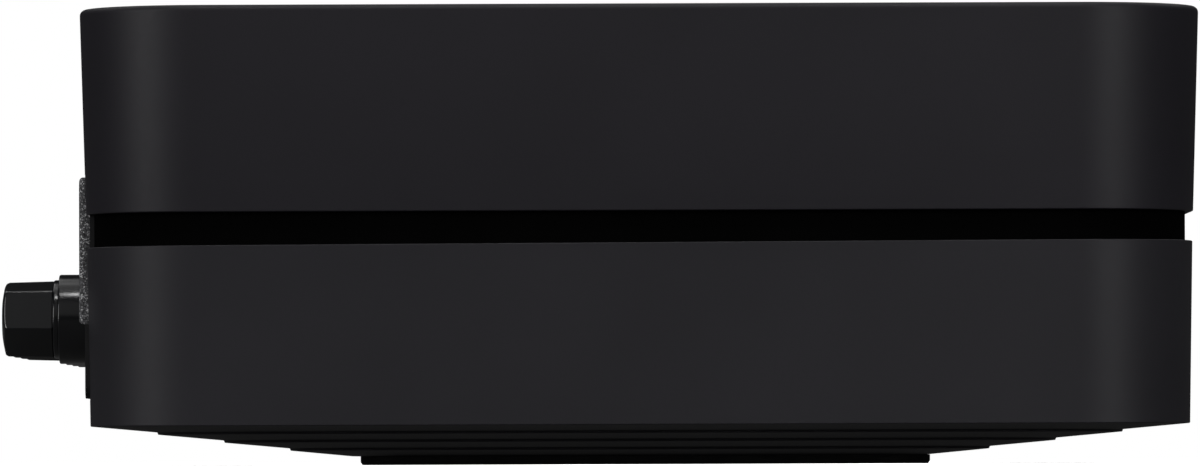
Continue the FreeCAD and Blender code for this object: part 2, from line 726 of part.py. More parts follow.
def in_well(place_at):
    """True where a standoff stands in the deeper middle of the floor."""
    x, y = place_at
    half_width = size.case_width.value / 2 - PLATEAU_INSET.value
    half_length = size.case_depth.value / 2 - PLATEAU_INSET.value
    return abs(x.value) < half_width and abs(y.value - MIDDLE.value) < half_length


def standoffs(body):
    """Round standoffs under every board screw, with their bores."""
    places = [spot for board in BOARDS.values() for spot in board_holes(*board)]
    places += phones_holes()
    for floor, deep in ((FLOOR, False), (WELL, True)):
        chosen = [spot for spot in places if in_well(spot) == deep]
        if not chosen:
            continue
        root = floor - size.wall / 2
        drawing = sketch(body, height=root)
        for x, y in chosen:
            circle(drawing, x, y, size.standoff_radius)
        pad(body, drawing, size.board_level - root)
    drawing = sketch(body, height=size.board_level)
    for x, y in places:
        circle(drawing, x, y, size.screw_radius + size.screw_gap)
    pocket(body, drawing, size.board_screw_length)


def pillars(body):
    """Two pillars behind the ends of the rear panel, which take its screws."""
    root = FLOOR - size.wall / 2
    drawing = sketch(body, height=root)
    middle = PANEL_INNER - size.pillar_depth / 2
    for side in (-1, 1):
        rectangle(drawing, side * PANEL_SCREW_X, middle, size.pillar_width, size.pillar_depth)
    top = size.panel_screw_high + size.pillar_width / 2
    pad(body, drawing, top - root)
    drawing = sketch(body, "XZ_Plane", -middle)
    for side in (-1, 1):
        for height in (size.panel_screw_low, size.panel_screw_high):
            circle(drawing, side * PANEL_SCREW_X, height, size.panel_screw_radius)
    pocket(body, drawing, size.pillar_depth + size.wall, middle=True)


def base_foot():
    body = new_body(0, MIDDLE - size.foot_forward, 0)
    drawing = sketch(body)
    rounded(drawing, 0, 0, FOOT_WIDTH, FOOT_LENGTH, size.foot_radius)
    pad(body, drawing, size.foot_height)
    round_edges(body, size.foot_round, lambda edge: level(edge, 0))
    return piece("base_foot", body)


def rear_panel():
    """Drawn upright: x sideways, y up, and z from the lower zone's face into the case."""
    body = new_body(0, PANEL_FACE, 0, "front")
    rise = size.panel_top - size.panel_low
    middle = (size.panel_top + size.panel_low) / 2
    drawing = sketch(body)
    rounded(drawing, 0, middle, PANEL_WIDTH, rise, size.panel_corner)
    pad(body, drawing, size.panel_wall)
    drawing = sketch(body)
    half = PANEL_WIDTH / 2
    corner = size.panel_corner
    points = [
        (-half, size.panel_step), (half, size.panel_step), (half, size.panel_top - corner),
        (half - corner, size.panel_top), (-half + corner, size.panel_top), (-half, size.panel_top - corner),
    ]
    profile(drawing, points, [(2, corner, 1), (4, corner, 1)])
    pad(body, drawing, size.panel_relief, back=True)
    outer = -size.panel_relief
    round_edges(body, size.panel_round, lambda edge: level(edge, outer))
    drawing = sketch(body, height=outer)
    for x in POST_X:
        circle(drawing, x, size.post_level, size.collar_radius + 2 * size.fit_gap)
    pocket(body, drawing, size.panel_relief, back=True)
    drawing = sketch(body, height=outer)
    for x in POST_X:
        circle(drawing, x, size.post_level, size.neck_radius + size.screw_gap)
    circle(drawing, SUB_OUT_X, size.post_level, size.phono_collar + size.fit_gap)
    for x in (AUDIO_IN_X, INFRARED_IN_X):
        circle(drawing, x, MINI_LEVEL, size.mini_collar + size.fit_gap)
    sockets = (
        (HDMI_X, size.hdmi_width, size.hdmi_rise),
        (USB_X, size.usb_width, size.usb_rise),
        (LAN_X, size.lan_width, size.lan_rise),
        (INLET_X, size.inlet_width, size.inlet_rise),
    )
    gap = 2 * size.fit_gap
    for x, width, height in sockets:
        rectangle(drawing, x, BOARD_TOP + height / 2, width + gap, height + gap)
    for side in (-1, 1):
        for height in (size.panel_screw_low, size.panel_screw_high):
            circle(drawing, side * PANEL_SCREW_X, height, size.panel_screw_radius + size.screw_gap)
    pocket(body, drawing, size.panel_wall + size.panel_relief + PAST, back=True)
    drawing = sketch(body, height=outer)
    for side in (-1, 1):
        for height in (size.panel_screw_low, size.panel_screw_high):
            circle(drawing, side * PANEL_SCREW_X, height, size.panel_screw_head + size.fit_gap)
    pocket(body, drawing, size.panel_relief + size.panel_screw_sink, back=True)
    return piece("rear_panel", body)


# screws

def screw(x, y, z, radius, length, head_radius, head_rise, along):
    """A cylinder-head screw: its seat at the given place, the shank pointing along the axis."""
    body = new_body(x, y, z, along)
    drawing = sketch(body, "XZ_Plane")
    points = [
        (0, -head_rise), (head_radius, -head_rise), (head_radius, 0), (radius, 0), (radius, length),
        (0, length),
    ]
    profile(drawing, points)
    turn(body, drawing)
    return body


def upside_down(thing):
    """Turns a body that stands upright over, so that its shank points down."""
    thing.Placement = FreeCAD.Placement(FreeCAD.Vector(), FreeCAD.Rotation(FreeCAD.Vector(1, 0, 0), 180))
    return thing


def case_screws():
    made = [screw(x, y, size.screw_seat, size.screw_radius, size.case_screw_length,
                  size.screw_head_radius, size.screw_head_height, "z") for x, y in COLUMNS]
    return piece("case_screws", group(made))


def board_screws():
    made = []
    places = [spot for board in BOARDS.values() for spot in board_holes(*board)] + phones_holes()
    for x, y in places:
        body = screw(x, y, BOARD_TOP, size.screw_radius, size.board_wall + size.board_screw_length,
                     size.screw_head_radius, size.screw_head_height, "z")
        made.append(upside_down(body))
    return piece("board_screws", group(made))


def panel_screws():
    made = []
    seat = PANEL_FACE - size.panel_screw_sink
    reach = size.panel_wall - size.panel_screw_sink + size.pillar_depth - size.panel_screw_short
    for side in (-1, 1):
        for height in (size.panel_screw_low, size.panel_screw_high):
            made.append(screw(side * PANEL_SCREW_X, seat, height, size.panel_screw_radius, reach,
                              size.panel_screw_head, size.panel_screw_sink, "front"))
    return piece("panel_screws", group(made))


# binding posts

def post_base(number, x):
    """Insulating collar, seated on the lower zone, with a neck through the panel."""
    body = new_body(x, PANEL_FACE, size.post_level, "y")
    drawing = sketch(body, "XZ_Plane")
    bore = size.stem_radius + size.screw_gap
    corner = size.collar_chamfer
    points = [
        (bore, -size.panel_wall), (size.neck_radius, -size.panel_wall), (size.neck_radius, 0),
        (size.collar_radius, 0), (size.collar_radius, size.collar_length - corner),
        (size.collar_radius - corner, size.collar_length), (bore, size.collar_length),
    ]
    profile(drawing, points)
    turn(body, drawing)
    return piece(f"post_base_{number}", body)


def post_stem(number, x):
    """Turned stem with a plug bore in its end and a cross hole for bare wire."""
    body = new_body(x, PANEL_FACE, size.post_level, "y")
    drawing = sketch(body, "XZ_Plane")
    low, high = -size.stem_inside, size.stem_outside
    points = [
        (0, low), (size.stem_radius, low), (size.stem_radius, high), (size.banana_radius, high),
        (size.banana_radius, high - size.banana_depth), (0, high - size.banana_depth),
    ]
    profile(drawing, points)
    turn(body, drawing)
    drawing = sketch(body, "YZ_Plane")
    height = size.collar_length + size.washer_wall + size.wire_gap + size.wire_radius
    circle(drawing, 0, height, size.wire_radius)
    pocket(body, drawing, 3 * size.stem_radius, middle=True)
    return piece(f"post_stem_{number}", body)


def clamp_washer(number, x):
    body = new_body(x, COLLAR_END, size.post_level, "y")
    drawing = sketch(body)
    circle(drawing, 0, 0, size.washer_radius)
    circle(drawing, 0, 0, KNOB_BORE)
    pad(body, drawing, size.washer_wall)
    return piece(f"clamp_washer_{number}", body)


def post_knob(number, x):
    """Six-sided knob with a slight taper and a shallow dome on its outer end."""
    body = new_body(x, WASHER_END, size.post_level, "y")
    drawing = sketch(body)
    turns = [size.knob_turn + 60 * corner for corner in range(6)]
    edge = size.knob_radius
    profile(drawing, [(edge * cosine(angle), edge * sine(angle)) for angle in turns])
    pad(body, drawing, KNOB_LENGTH, slant=-size.knob_slant)
    drawing = sketch(body, "XZ_Plane")
    drop = size.dome_reach * size.dome_reach / (2 * size.dome_radius)
    reach = size.dome_reach
    far = size.knob_radius + PAST
    dome_low = KNOB_LENGTH - drop
    points = [
        (0, KNOB_LENGTH), (reach, dome_low), (far, dome_low - (far - reach) * size.edge_chamfer),
        (far, KNOB_LENGTH + PAST), (0, KNOB_LENGTH + PAST),
    ]
    profile(drawing, points, [(0, size.dome_radius, -1)])
    turn(body, drawing, "Groove")
    drawing = sketch(body)
    circle(drawing, 0, 0, KNOB_BORE)
    pocket(body, drawing, KNOB_LENGTH + PAST, back=True)
    return piece(f"post_knob_{number}", body)


def post_nuts():
    made = []
    for x in POST_X:
        nut = doc.addObject("Part::Prism", "Nut")
        nut.Polygon = 6
        bind(nut, Circumradius=size.nut_radius, Height=size.nut_height)
        place(nut, x, PANEL_INNER - size.nut_height, size.post_level, "y")
        bore = rod(x, PANEL_INNER - size.nut_height - PAST, size.post_level,
                   size.stem_radius + size.screw_gap, size.nut_height + 2 * PAST, "y")
        made.append(cut(nut, bore))
    return piece("post_nuts", group(made))


def terminal_board():
    """Upright board that the four stems pass through, behind their nuts."""
    left = POST_X[0] - size.terminal_left
    right = POST_X[-1] + size.terminal_right
    back = PANEL_INNER - size.nut_height
    plate = box((left, back - size.board_wall, size.terminal_low),
                (right - left, size.board_wall, size.terminal_high - size.terminal_low))
    holes = [rod(x, back - size.board_wall - PAST, size.post_level, size.stem_radius + size.screw_gap,
                 size.board_wall + 2 * PAST, "y") for x in POST_X]
    return piece("terminal_board", cut(plate, *holes))


# sockets

def sub_out_jack():
    """Phono jack: a turned sleeve on a round collar and a square housing."""
    body = new_body(SUB_OUT_X, PANEL_INNER, size.post_level, "y")
    drawing = sketch(body)
    low = BOARD_TOP - size.post_level
    rise = size.phono_body
    rectangle(drawing, formula(0), -(low + rise / 2), size.phono_body, rise)
    pad(body, drawing, size.mini_depth, back=True)
    drawing = sketch(body)
    circle(drawing, 0, 0, size.phono_collar)
    pad(body, drawing, size.panel_wall + size.panel_relief + size.collar_proud)
    drawing = sketch(body)
    circle(drawing, 0, 0, size.phono_radius)
    face = size.panel_wall + size.phono_length
    pad(body, drawing, face)
    round_edges(body, size.fit_gap * 2, lambda edge: level(edge, face))
    drawing = sketch(body, height=face)
    circle(drawing, 0, 0, size.phono_bore)
    pocket(body, drawing, face)
    return piece("sub_out_jack", body)


def mini_jack(label, x, face, z, outward, rise):
    """3.5 mm jack: housing on its board, round collar flush with the wall, and its bore."""
    body = new_body(x, face, z, outward)
    drawing = sketch(body, height=-size.panel_wall)
    down = 1 if outward == "y" else -1
    middle = down * (rise - size.mini_rise / 2)
    rectangle(drawing, formula(0), middle, size.mini_body, size.mini_rise)
    pad(body, drawing, size.mini_depth - size.panel_wall, back=True)
    drawing = sketch(body, height=-size.panel_wall)
    circle(drawing, 0, 0, size.mini_collar)
    pad(body, drawing, size.panel_wall)
    drawing = sketch(body)
    circle(drawing, 0, 0, size.mini_bore)
    pocket(body, drawing, size.mini_depth - size.socket_end)
    return piece(label, body)


def hdmi_socket():
    """Flat metal shell with two sloped lower corners and a contact tongue."""
    body = new_body(HDMI_X, PANEL_FACE, BOARD_TOP, "front")
    half = size.hdmi_width / 2
    rise = size.hdmi_rise
    wall = size.shell_wall
    slope = rise * 0.3

    def outline(drawing, inset):
        left = half - inset
        points = [
            (-left + slope, inset), (left - slope, inset), (left, slope + inset), (left, rise - inset),
            (-left, rise - inset), (-left, slope + inset),
        ]
        profile(drawing, points)

    drawing = sketch(body)
    outline(drawing, formula(0))
    pad(body, drawing, size.hdmi_depth)
    drawing = sketch(body)
    outline(drawing, wall)
    pocket(body, drawing, size.hdmi_depth - size.socket_end, back=True)
    drawing = sketch(body, height=size.tongue_inset)
    rectangle(drawing, formula(0), rise * 0.55, size.hdmi_width * 0.73, rise * 0.17)
    pad(body, drawing, size.hdmi_depth - size.tongue_inset)
    return piece("hdmi_socket", body)


def usb_socket():
    """Flat metal shell with a contact tongue near its upper wall."""
    body = new_body(USB_X, PANEL_FACE, BOARD_TOP, "front")
    rise = size.usb_rise
    gap = 2 * size.shell_wall
    drawing = sketch(body)
    rectangle(drawing, formula(0), rise / 2, size.usb_width, rise)
    pad(body, drawing, size.usb_depth)
    drawing = sketch(body)
    rectangle(drawing, formula(0), rise / 2, size.usb_width - gap, rise - gap)
    pocket(body, drawing, size.usb_depth - size.socket_end, back=True)
    drawing = sketch(body, height=size.tongue_inset)
    rectangle(drawing, formula(0), rise * 0.7, size.usb_width * 0.87, rise * 0.25)
    pad(body, drawing, size.usb_depth - size.tongue_inset)
    return piece("usb_socket", body)


def lan_socket():
    """Network socket: a block with a mouth and a stepped groove for the plug's latch."""
    body = new_body(LAN_X, PANEL_FACE, BOARD_TOP, "front")
    drawing = sketch(body)
    rectangle(drawing, formula(0), size.lan_rise / 2, size.lan_width, size.lan_rise)
    pad(body, drawing, size.lan_depth)
    half = size.lan_mouth / 2
    latch, notch = half * 0.55, half * 0.27
    low = size.lan_rise * 0.16
    shelf = low + size.lan_rise * 0.1
    base = shelf + size.lan_rise * 0.1
    top = base + size.lan_mouth_rise
    points = [
        (-notch, low), (notch, low), (notch, shelf), (latch, shelf), (latch, base), (half, base),
        (half, top), (-half, top), (-half, base), (-latch, base), (-latch, shelf), (-notch, shelf),
    ]
    drawing = sketch(body)
    profile(drawing, points)
    pocket(body, drawing, size.lan_mouth_depth, back=True)
    return piece("lan_socket", body)


def mains_inlet():
    """Inlet for a two-pole lead: a housing with a figure-of-eight mouth."""
    body = new_body(INLET_X, PANEL_FACE, BOARD_TOP, "front")
    middle = size.inlet_rise / 2
    drawing = sketch(body)
    rectangle(drawing, formula(0), middle, size.inlet_width, size.inlet_rise)
    pad(body, drawing, size.inlet_depth)
    drawing = sketch(body)
    rounded(drawing, 0, middle, size.inlet_mouth, size.inlet_mouth_rise, size.inlet_mouth_rise * 0.42)
    pocket(body, drawing, size.inlet_mouth_depth, back=True)
    return piece("mains_inlet", body)


def inlet_pins():
    middle = BOARD_TOP + size.inlet_rise / 2
    back = PANEL_FACE - size.inlet_mouth_depth
    made = [rod(INLET_X + side * size.inlet_pin_pitch / 2, back, middle,
                size.inlet_pin_radius, size.inlet_pin_length, "y") for side in (-1, 1)]
    return piece("inlet_pins", group(made))


# boards

def board(label, left, back, width, length, rear_inset):
    """A board with its screw holes, notched round the columns that pass it."""
    low = size.board_level
    plate = box((left, back - length, low), (width, length, size.board_wall))
    tools = [rod(x, y, low - PAST, size.screw_radius + 2 * size.screw_gap, size.board_wall + 2 * PAST)
             for x, y in board_holes(left, back, width, length, rear_inset)]
    tools += [rod(x, y, low - PAST, size.column_radius + size.fit_gap * 2, size.board_wall + 2 * PAST)
              for x, y in COLUMNS if touches(x, y, left, back, width, length)]
    return piece(label, cut(plate, *tools))


def touches(x, y, left, back, width, length):
    """True where a column at this place meets the board."""
    reach = size.column_radius.value + size.fit_gap.value * 2
    inside_x = left.value - reach < x.value < (left + width).value + reach
    inside_y = (back - length).value - reach < y.value < back.value + reach
    return inside_x and inside_y


def phones_frame():
    """Left edge, rear edge, width and length of the headphone board."""
    front = FRONT_RIM + BASE_CAVITY + 2 * size.lip_wall
    return (PHONES_X - size.phones_board / 2, front + size.phones_board_length,
            size.phones_board, size.phones_board_length)


def phones_holes():
    left, back, width, length = phones_frame()
    inset = size.hole_inset
    return [(left + inset, back - inset), (left + width - inset, back - inset)]


def headphone_board():
    left, back, width, length = phones_frame()
    low = size.board_level
    plate = box((left, back - length, low), (width, length, size.board_wall))
    tools = [rod(x, y, low - PAST, size.screw_radius + 2 * size.screw_gap, size.board_wall + 2 * PAST)
             for x, y in phones_holes()]
    return piece("headphone_board", cut(plate, *tools))


# touch field

def touch_window():
    body = new_body(0, TOUCH_Y, size.case_height - size.touch_glass)
    gap = size.fit_gap
    drawing = sketch(body)
    rounded(drawing, 0, 0, size.touch_width - 2 * gap, size.touch_length - 2 * gap, size.touch_radius - gap)
    pad(body, drawing, size.touch_glass)
    return piece("touch_window", body)


def touch_light_guide():
    """Clear block that fills the opening under the glass and rests on the touch board."""
    inset = 2 * (size.touch_ledge + size.fit_gap)
    radius = size.touch_radius - size.touch_ledge - size.fit_gap
    low = CEILING - size.guide_depth
    body = new_body(0, TOUCH_Y, low)
    drawing = sketch(body)
    rounded(drawing, 0, 0, size.touch_width - inset, size.touch_length - inset, radius)
    pad(body, drawing, size.case_height - size.touch_glass - low)
    return piece("touch_light_guide", body)


def touch_board():
    width = size.touch_width + 2 * size.touch_margin
    length = size.touch_length + 2 * size.touch_margin
    low = CEILING - size.guide_depth - size.board_wall
    return piece("touch_board", centred_box(formula(0), TOUCH_Y, low, width, length, size.board_wall))


def touch_board_spacers():
    """Four spacers between the touch board and the cover's ceiling."""
    half_width = size.touch_width / 2 + size.touch_margin / 2
    half_length = size.touch_length / 2 + size.touch_margin / 2
    made = [rod(side * half_width, TOUCH_Y + end * half_length, CEILING - size.guide_depth,
                size.touch_margin / 2, size.guide_depth) for side in (-1, 1) for end in (-1, 1)]
    return piece("touch_board_spacers", group(made))


# amplifier

SINK_WIDTH = AMP_WIDTH - 2 * (size.hole_inset + size.screw_head_radius + size.sink_gap)
FINS = int((SINK_WIDTH.value - size.fin_wall.value) / size.fin_pitch.value) + 1
SINK_X = AMP_LEFT + AMP_WIDTH / 2
SINK_Y = AMP_BACK - size.amp_length + size.sink_front + size.sink_length / 2
SINK_LOW = BOARD_TOP + size.chip_rise


def amplifier_heatsink():
    """Extruded heatsink: a base plate with a row of tapered fins."""
    body = new_body(SINK_X, SINK_Y, SINK_LOW)
    drawing = sketch(body)
    rectangle(drawing, formula(0), formula(0), SINK_WIDTH, size.sink_length)
    pad(body, drawing, size.sink_base)
    drawing = sketch(body, height=size.sink_base)
    first = -(FINS - 1) / 2 * size.fin_pitch
    rectangle(drawing, first, formula(0), size.fin_wall, size.sink_length)
    fin = pad(body, drawing, size.sink_rise - size.sink_base, slant=-size.fin_slant)
    row = body.newObject("PartDesign::LinearPattern", "Fins")
    row.Originals = [fin]
    row.Direction = (drawing, ["H_Axis"])
    bind(row, Length=(FINS - 1) * size.fin_pitch)
    row.Occurrences = FINS
    body.Tip = row
    return piece("amplifier_heatsink", body)


def amplifier_chips():
    made = [centred_box(SINK_X + side * SINK_WIDTH / 4, SINK_Y, BOARD_TOP,
                        size.chip_side, size.chip_side, size.chip_rise) for side in (-1, 1)]
    return piece("amplifier_chips", group(made))


def output_row(count):
    """Places of a row of parts behind the terminals, spread over the amplifier board."""
    step = AMP_WIDTH / count
    return [AMP_LEFT + step * (number + 0.5) for number in range(count)]


FILM_Y = AMP_BACK - size.output_inset - size.film_length / 2
COIL_Y = FILM_Y - size.film_length / 2 - size.part_gap - size.coil_side / 2


def output_inductors():
    made = []
    for x in output_row(POSTS):
        body = new_body(x, COIL_Y, BOARD_TOP)
        drawing = sketch(body)
        rounded(drawing, 0, 0, size.coil_side, size.coil_side, size.coil_side * 0.2)
        pad(body, drawing, size.coil_rise)
        made.append(body)
    return piece("output_inductors", group(made))


def output_capacitors():
    made = [centred_box(x, FILM_Y, BOARD_TOP, size.film_width, size.film_length, size.film_rise)
            for x in output_row(POSTS)]
    return piece("output_capacitors", group(made))


# power supply

SUPPLY_X = SUPPLY_LEFT + size.supply_width / 2
FUSE_Y = PANEL_FACE - size.inlet_depth - size.part_gap - size.fuse_radius
CHOKE_Y = FUSE_Y - size.fuse_radius - size.part_gap - size.choke_radius - size.choke_wire
BULK_Y = CHOKE_Y - size.choke_radius - size.choke_wire - size.part_gap - size.bulk_radius
PLATE_Y = BULK_Y - size.bulk_radius - size.part_gap - size.plate_wall / 2
SWITCH_Y = PLATE_Y - size.plate_wall / 2 - size.switch_wall / 2
CORE_Y = SWITCH_Y - size.switch_wall / 2 - size.part_gap - size.core_length / 2
STORE_Y = CORE_Y - size.core_length / 2 - size.part_gap - size.store_radius


def can(x, y, radius, rise):
    """An upright can capacitor with a chamfered top."""
    body = new_body(x, y, BOARD_TOP)
    drawing = sketch(body, "XZ_Plane")
    corner = radius * 0.12
    points = [(0, 0), (radius, 0), (radius, rise - corner), (radius - corner, rise), (0, rise)]
    profile(drawing, points)
    turn(body, drawing)
    return body


def bulk_capacitors():
    aside = size.bulk_radius + size.part_gap / 2
    made = [can(SUPPLY_X + side * aside, BULK_Y, size.bulk_radius, size.bulk_rise) for side in (-1, 1)]
    return piece("bulk_capacitors", group(made))


def supply_capacitors():
    made = []
    for side in (-1, 1):
        for step in (0, 1):
            x = SUPPLY_X + side * (size.store_radius + size.part_gap / 2)
            y = STORE_Y - step * (2 * size.store_radius + size.part_gap)
            made.append(can(x, y, size.store_radius, size.store_rise))
    return piece("supply_capacitors", group(made))


def filter_choke():
    """Ring choke lying flat on the board."""
    outer = rod(SUPPLY_X, CHOKE_Y, BOARD_TOP, size.choke_radius + size.choke_wire, 2 * size.choke_wire)
    inner = rod(SUPPLY_X, CHOKE_Y, BOARD_TOP - PAST, size.choke_radius - size.choke_wire,
                2 * size.choke_wire + 2 * PAST)
    return piece("filter_choke", cut(outer, inner))


def mains_fuse():
    fuse_tube = rod(SUPPLY_X - size.fuse_length / 2, FUSE_Y, BOARD_TOP + size.fuse_radius,
                    size.fuse_radius, size.fuse_length, "x")
    return piece("mains_fuse", fuse_tube)


def supply_heatsink():
    return piece("supply_heatsink", centred_box(SUPPLY_X, PLATE_Y, BOARD_TOP, size.core_width,
                                                size.plate_wall, size.plate_rise))


def supply_transistors():
    made = [centred_box(SUPPLY_X + side * size.switch_side * 0.8, SWITCH_Y, BOARD_TOP,
                        size.switch_side, size.switch_wall, size.plate_rise * 0.6) for side in (-1, 1)]
    return piece("supply_transistors", group(made))


def mains_transformer():
    """Ferrite core: two end plates and side legs round a wound bobbin."""
    plate = size.core_rise * 0.2
    low = centred_box(SUPPLY_X, CORE_Y, BOARD_TOP, size.core_width, size.core_length, plate)
    high = centred_box(SUPPLY_X, CORE_Y, BOARD_TOP + size.core_rise - plate,
                       size.core_width, size.core_length, plate)
    leg = size.core_width / 2 - size.winding_radius - size.fit_gap
    legs = [centred_box(SUPPLY_X + side * (size.core_width / 2 - leg / 2), CORE_Y, BOARD_TOP,
                        leg, size.core_length * 0.6, size.core_rise) for side in (-1, 1)]
    winding = rod(SUPPLY_X, CORE_Y, BOARD_TOP + plate / 2, size.winding_radius, size.core_rise - plate)
    return piece("mains_transformer", fuse(low, high, winding, *legs))


# main board parts

MODULE_X = MAIN_LEFT + size.main_width / 2
MODULE_Y = MAIN_BACK - size.lan_depth - size.module_back - size.module_side / 2


def processor_module():
    """Plug-in board on two header strips."""
    side = size.module_side
    strip = side * 0.08
    plate = centred_box(MODULE_X, MODULE_Y, BOARD_TOP + size.module_lift, side, side, size.board_wall)
    strips = [centred_box(MODULE_X + end * (side / 2 - strip), MODULE_Y, BOARD_TOP, strip, side * 0.8,
                          size.module_lift) for end in (-1, 1)]
    return piece("processor_module", fuse(plate, *strips))


def processor_shield():
    """Thin sheet can, open below, over the processor module."""
    body = new_body(MODULE_X, MODULE_Y, BOARD_TOP + size.module_lift + size.board_wall)
    side = size.module_side * 0.8
    drawing = sketch(body)
    rectangle(drawing, formula(0), formula(0), side, side)
    pad(body, drawing, size.shield_rise)
    drawing = sketch(body)
    inner = side - 2 * size.shield_wall
    rectangle(drawing, formula(0), formula(0), inner, inner)
    pocket(body, drawing, size.shield_rise - size.shield_wall, back=True)
    return piece("processor_shield", body)


def radio_module():
    y = MAIN_BACK - size.main_length + size.radio_front + size.radio_length / 2
    return piece("radio_module", centred_box(MODULE_X, y, BOARD_TOP, size.radio_width,
                                             size.radio_length, size.radio_rise))


def antennas():
    """Two antenna strips on the cover's side walls, near the front."""
    made = []
    inner = size.case_width / 2 - COVER_CAVITY
    y = FRONT_RIM + size.case_radius + size.antenna_inset
    for low in (-inner, inner - size.antenna_wall):
        made.append(box((low, y, SLOT_TOP + size.lip_height + size.antenna_lift),
                        (size.antenna_wall, size.antenna_length, size.antenna_rise)))
    return piece("antennas", group(made))


def infrared_receiver():
    """Receiver with a round lens, set against the waist frame's front wall."""
    face = FRONT_RIM + BASE_CAVITY + size.lip_gap + size.lip_wall
    low = size.slot_low + size.slot_gap / 2 - size.eye_side / 2
    housing = box((-size.eye_side / 2, face + size.eye_radius, low), (size.eye_side, size.eye_side / 2,
                                                                      size.eye_side))
    lens = rod(formula(0), face, low + size.eye_side / 2, size.eye_radius, size.eye_radius, "y")
    return piece("infrared_receiver", fuse(housing, lens))


def build():
    top_cover()
    waist_frame()
    bottom_case()
    base_foot()
    rear_panel()
    case_screws()
    board_screws()
    panel_screws()
    for number, x in enumerate(POST_X, 1):
        post_base(number, x)
        post_stem(number, x)
        clamp_washer(number, x)
        post_knob(number, x)
    post_nuts()
    terminal_board()
    sub_out_jack()
    below = MINI_LEVEL - BOARD_TOP
    mini_jack("audio_in_jack", AUDIO_IN_X, PANEL_FACE, MINI_LEVEL, "y", below)
    mini_jack("infrared_in_jack", INFRARED_IN_X, PANEL_FACE, MINI_LEVEL, "y", below)
    front_face = FRONT_RIM + EDGE_INSET
    mini_jack("headphone_jack", PHONES_X, front_face, size.phones_level, "front",
              size.phones_level - BOARD_TOP)
    hdmi_socket()
    usb_socket()
    lan_socket()
    mains_inlet()
    inlet_pins()
    for label, frame in BOARDS.items():
        board(label, *frame)
    headphone_board()
    touch_window()
    touch_light_guide()
    touch_board()
    touch_board_spacers()
    amplifier_heatsink()
    amplifier_chips()
    output_inductors()
    output_capacitors()
    bulk_capacitors()
    supply_capacitors()
    filter_choke()
    mains_fuse()
    supply_heatsink()
    supply_transistors()
    mains_transformer()
    processor_module()
    processor_shield()
    radio_module()
    antennas()
    infrared_receiver()
    doc.recompute()


def faults():
    """Names what failed: a feature's state, or a sub-part's shape."""
    found = []
    for thing in doc.Objects:
        if "Invalid" in thing.State or "Error" in thing.State:
            found.append(f"{thing.Label}: {thing.State}")
    for label, thing in pieces.items():
        if thing.Shape.isNull() or not thing.Shape.isValid() or not thing.Shape.Solids:
            found.append(f"{label}: no valid solid")
    return found


build()
problems = faults()
if problems:
    raise SystemExit("\n".join(problems))
os.makedirs("parts", exist_ok=True)
for label, thing in pieces.items():
    thing.Shape.exportStep(f"parts/{label}.step")
print(len(pieces), "sub-parts written")
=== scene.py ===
"""Streaming amplifier: finishes, fine detail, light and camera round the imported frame."""
import json
import math

import bmesh
import bpy
from mathutils import Matrix, Quaternion, Vector


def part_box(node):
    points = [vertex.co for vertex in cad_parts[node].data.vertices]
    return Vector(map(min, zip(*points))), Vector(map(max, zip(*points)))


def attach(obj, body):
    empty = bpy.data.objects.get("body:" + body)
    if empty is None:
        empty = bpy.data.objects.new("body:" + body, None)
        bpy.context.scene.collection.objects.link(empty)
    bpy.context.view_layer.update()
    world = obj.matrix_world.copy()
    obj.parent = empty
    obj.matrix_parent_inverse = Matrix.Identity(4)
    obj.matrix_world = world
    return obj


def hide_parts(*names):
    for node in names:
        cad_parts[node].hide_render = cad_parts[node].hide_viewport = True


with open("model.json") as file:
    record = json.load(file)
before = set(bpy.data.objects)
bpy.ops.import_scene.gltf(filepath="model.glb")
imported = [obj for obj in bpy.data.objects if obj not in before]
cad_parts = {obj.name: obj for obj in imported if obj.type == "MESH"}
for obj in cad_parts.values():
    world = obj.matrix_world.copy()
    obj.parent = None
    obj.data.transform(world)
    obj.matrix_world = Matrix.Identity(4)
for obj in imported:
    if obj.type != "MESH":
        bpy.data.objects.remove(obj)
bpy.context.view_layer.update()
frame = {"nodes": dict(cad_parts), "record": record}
NODES = frame["nodes"]
MM = 0.001

# the case: its box from the frame, then its corners, walls, slot and drafts
CASE_LOW, CASE_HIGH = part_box("top_cover")
FRONT, REAR = CASE_LOW.y, CASE_HIGH.y
HALF_WIDTH = CASE_HIGH.x
HALF_DEPTH = (REAR - FRONT) / 2
MIDDLE = (REAR + FRONT) / 2
TOP = CASE_HIGH.z
CORNER = 19.5 * MM
WALL = 2.2 * MM
RIM = 1.0 * MM
LIP_ROUND = 0.22 * MM
SLOT_TOP = 39.35 * MM
SLOT_LOW = 34.75 * MM
SLOT_FALL = 0.62 * MM
COVER_DRAFT = math.tan(math.radians(1.7))
BASE_DRAFT = math.tan(math.radians(0.95))
COVER_INSET = (TOP - SLOT_TOP) * COVER_DRAFT
BASE_INSET = COVER_INSET + (SLOT_TOP - SLOT_LOW) * COVER_DRAFT

# the terraces of the underside: each falls across its band, and a step leads to the next
FOOT_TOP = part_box("base_foot")[1].z
TERRACES = 4
BAND_WIDTH = 10.2 * MM
LAST_BAND = 9.7 * MM
BAND_DROP = 0.93 * MM
BAND_STEP = 0.35 * MM
RING_SHRINK = 2.5 * MM
BASE_EDGE = FOOT_TOP + TERRACES * BAND_DROP + (TERRACES - 1) * BAND_STEP
EDGE_INSET = BASE_INSET + (SLOT_LOW - BASE_EDGE) * BASE_DRAFT

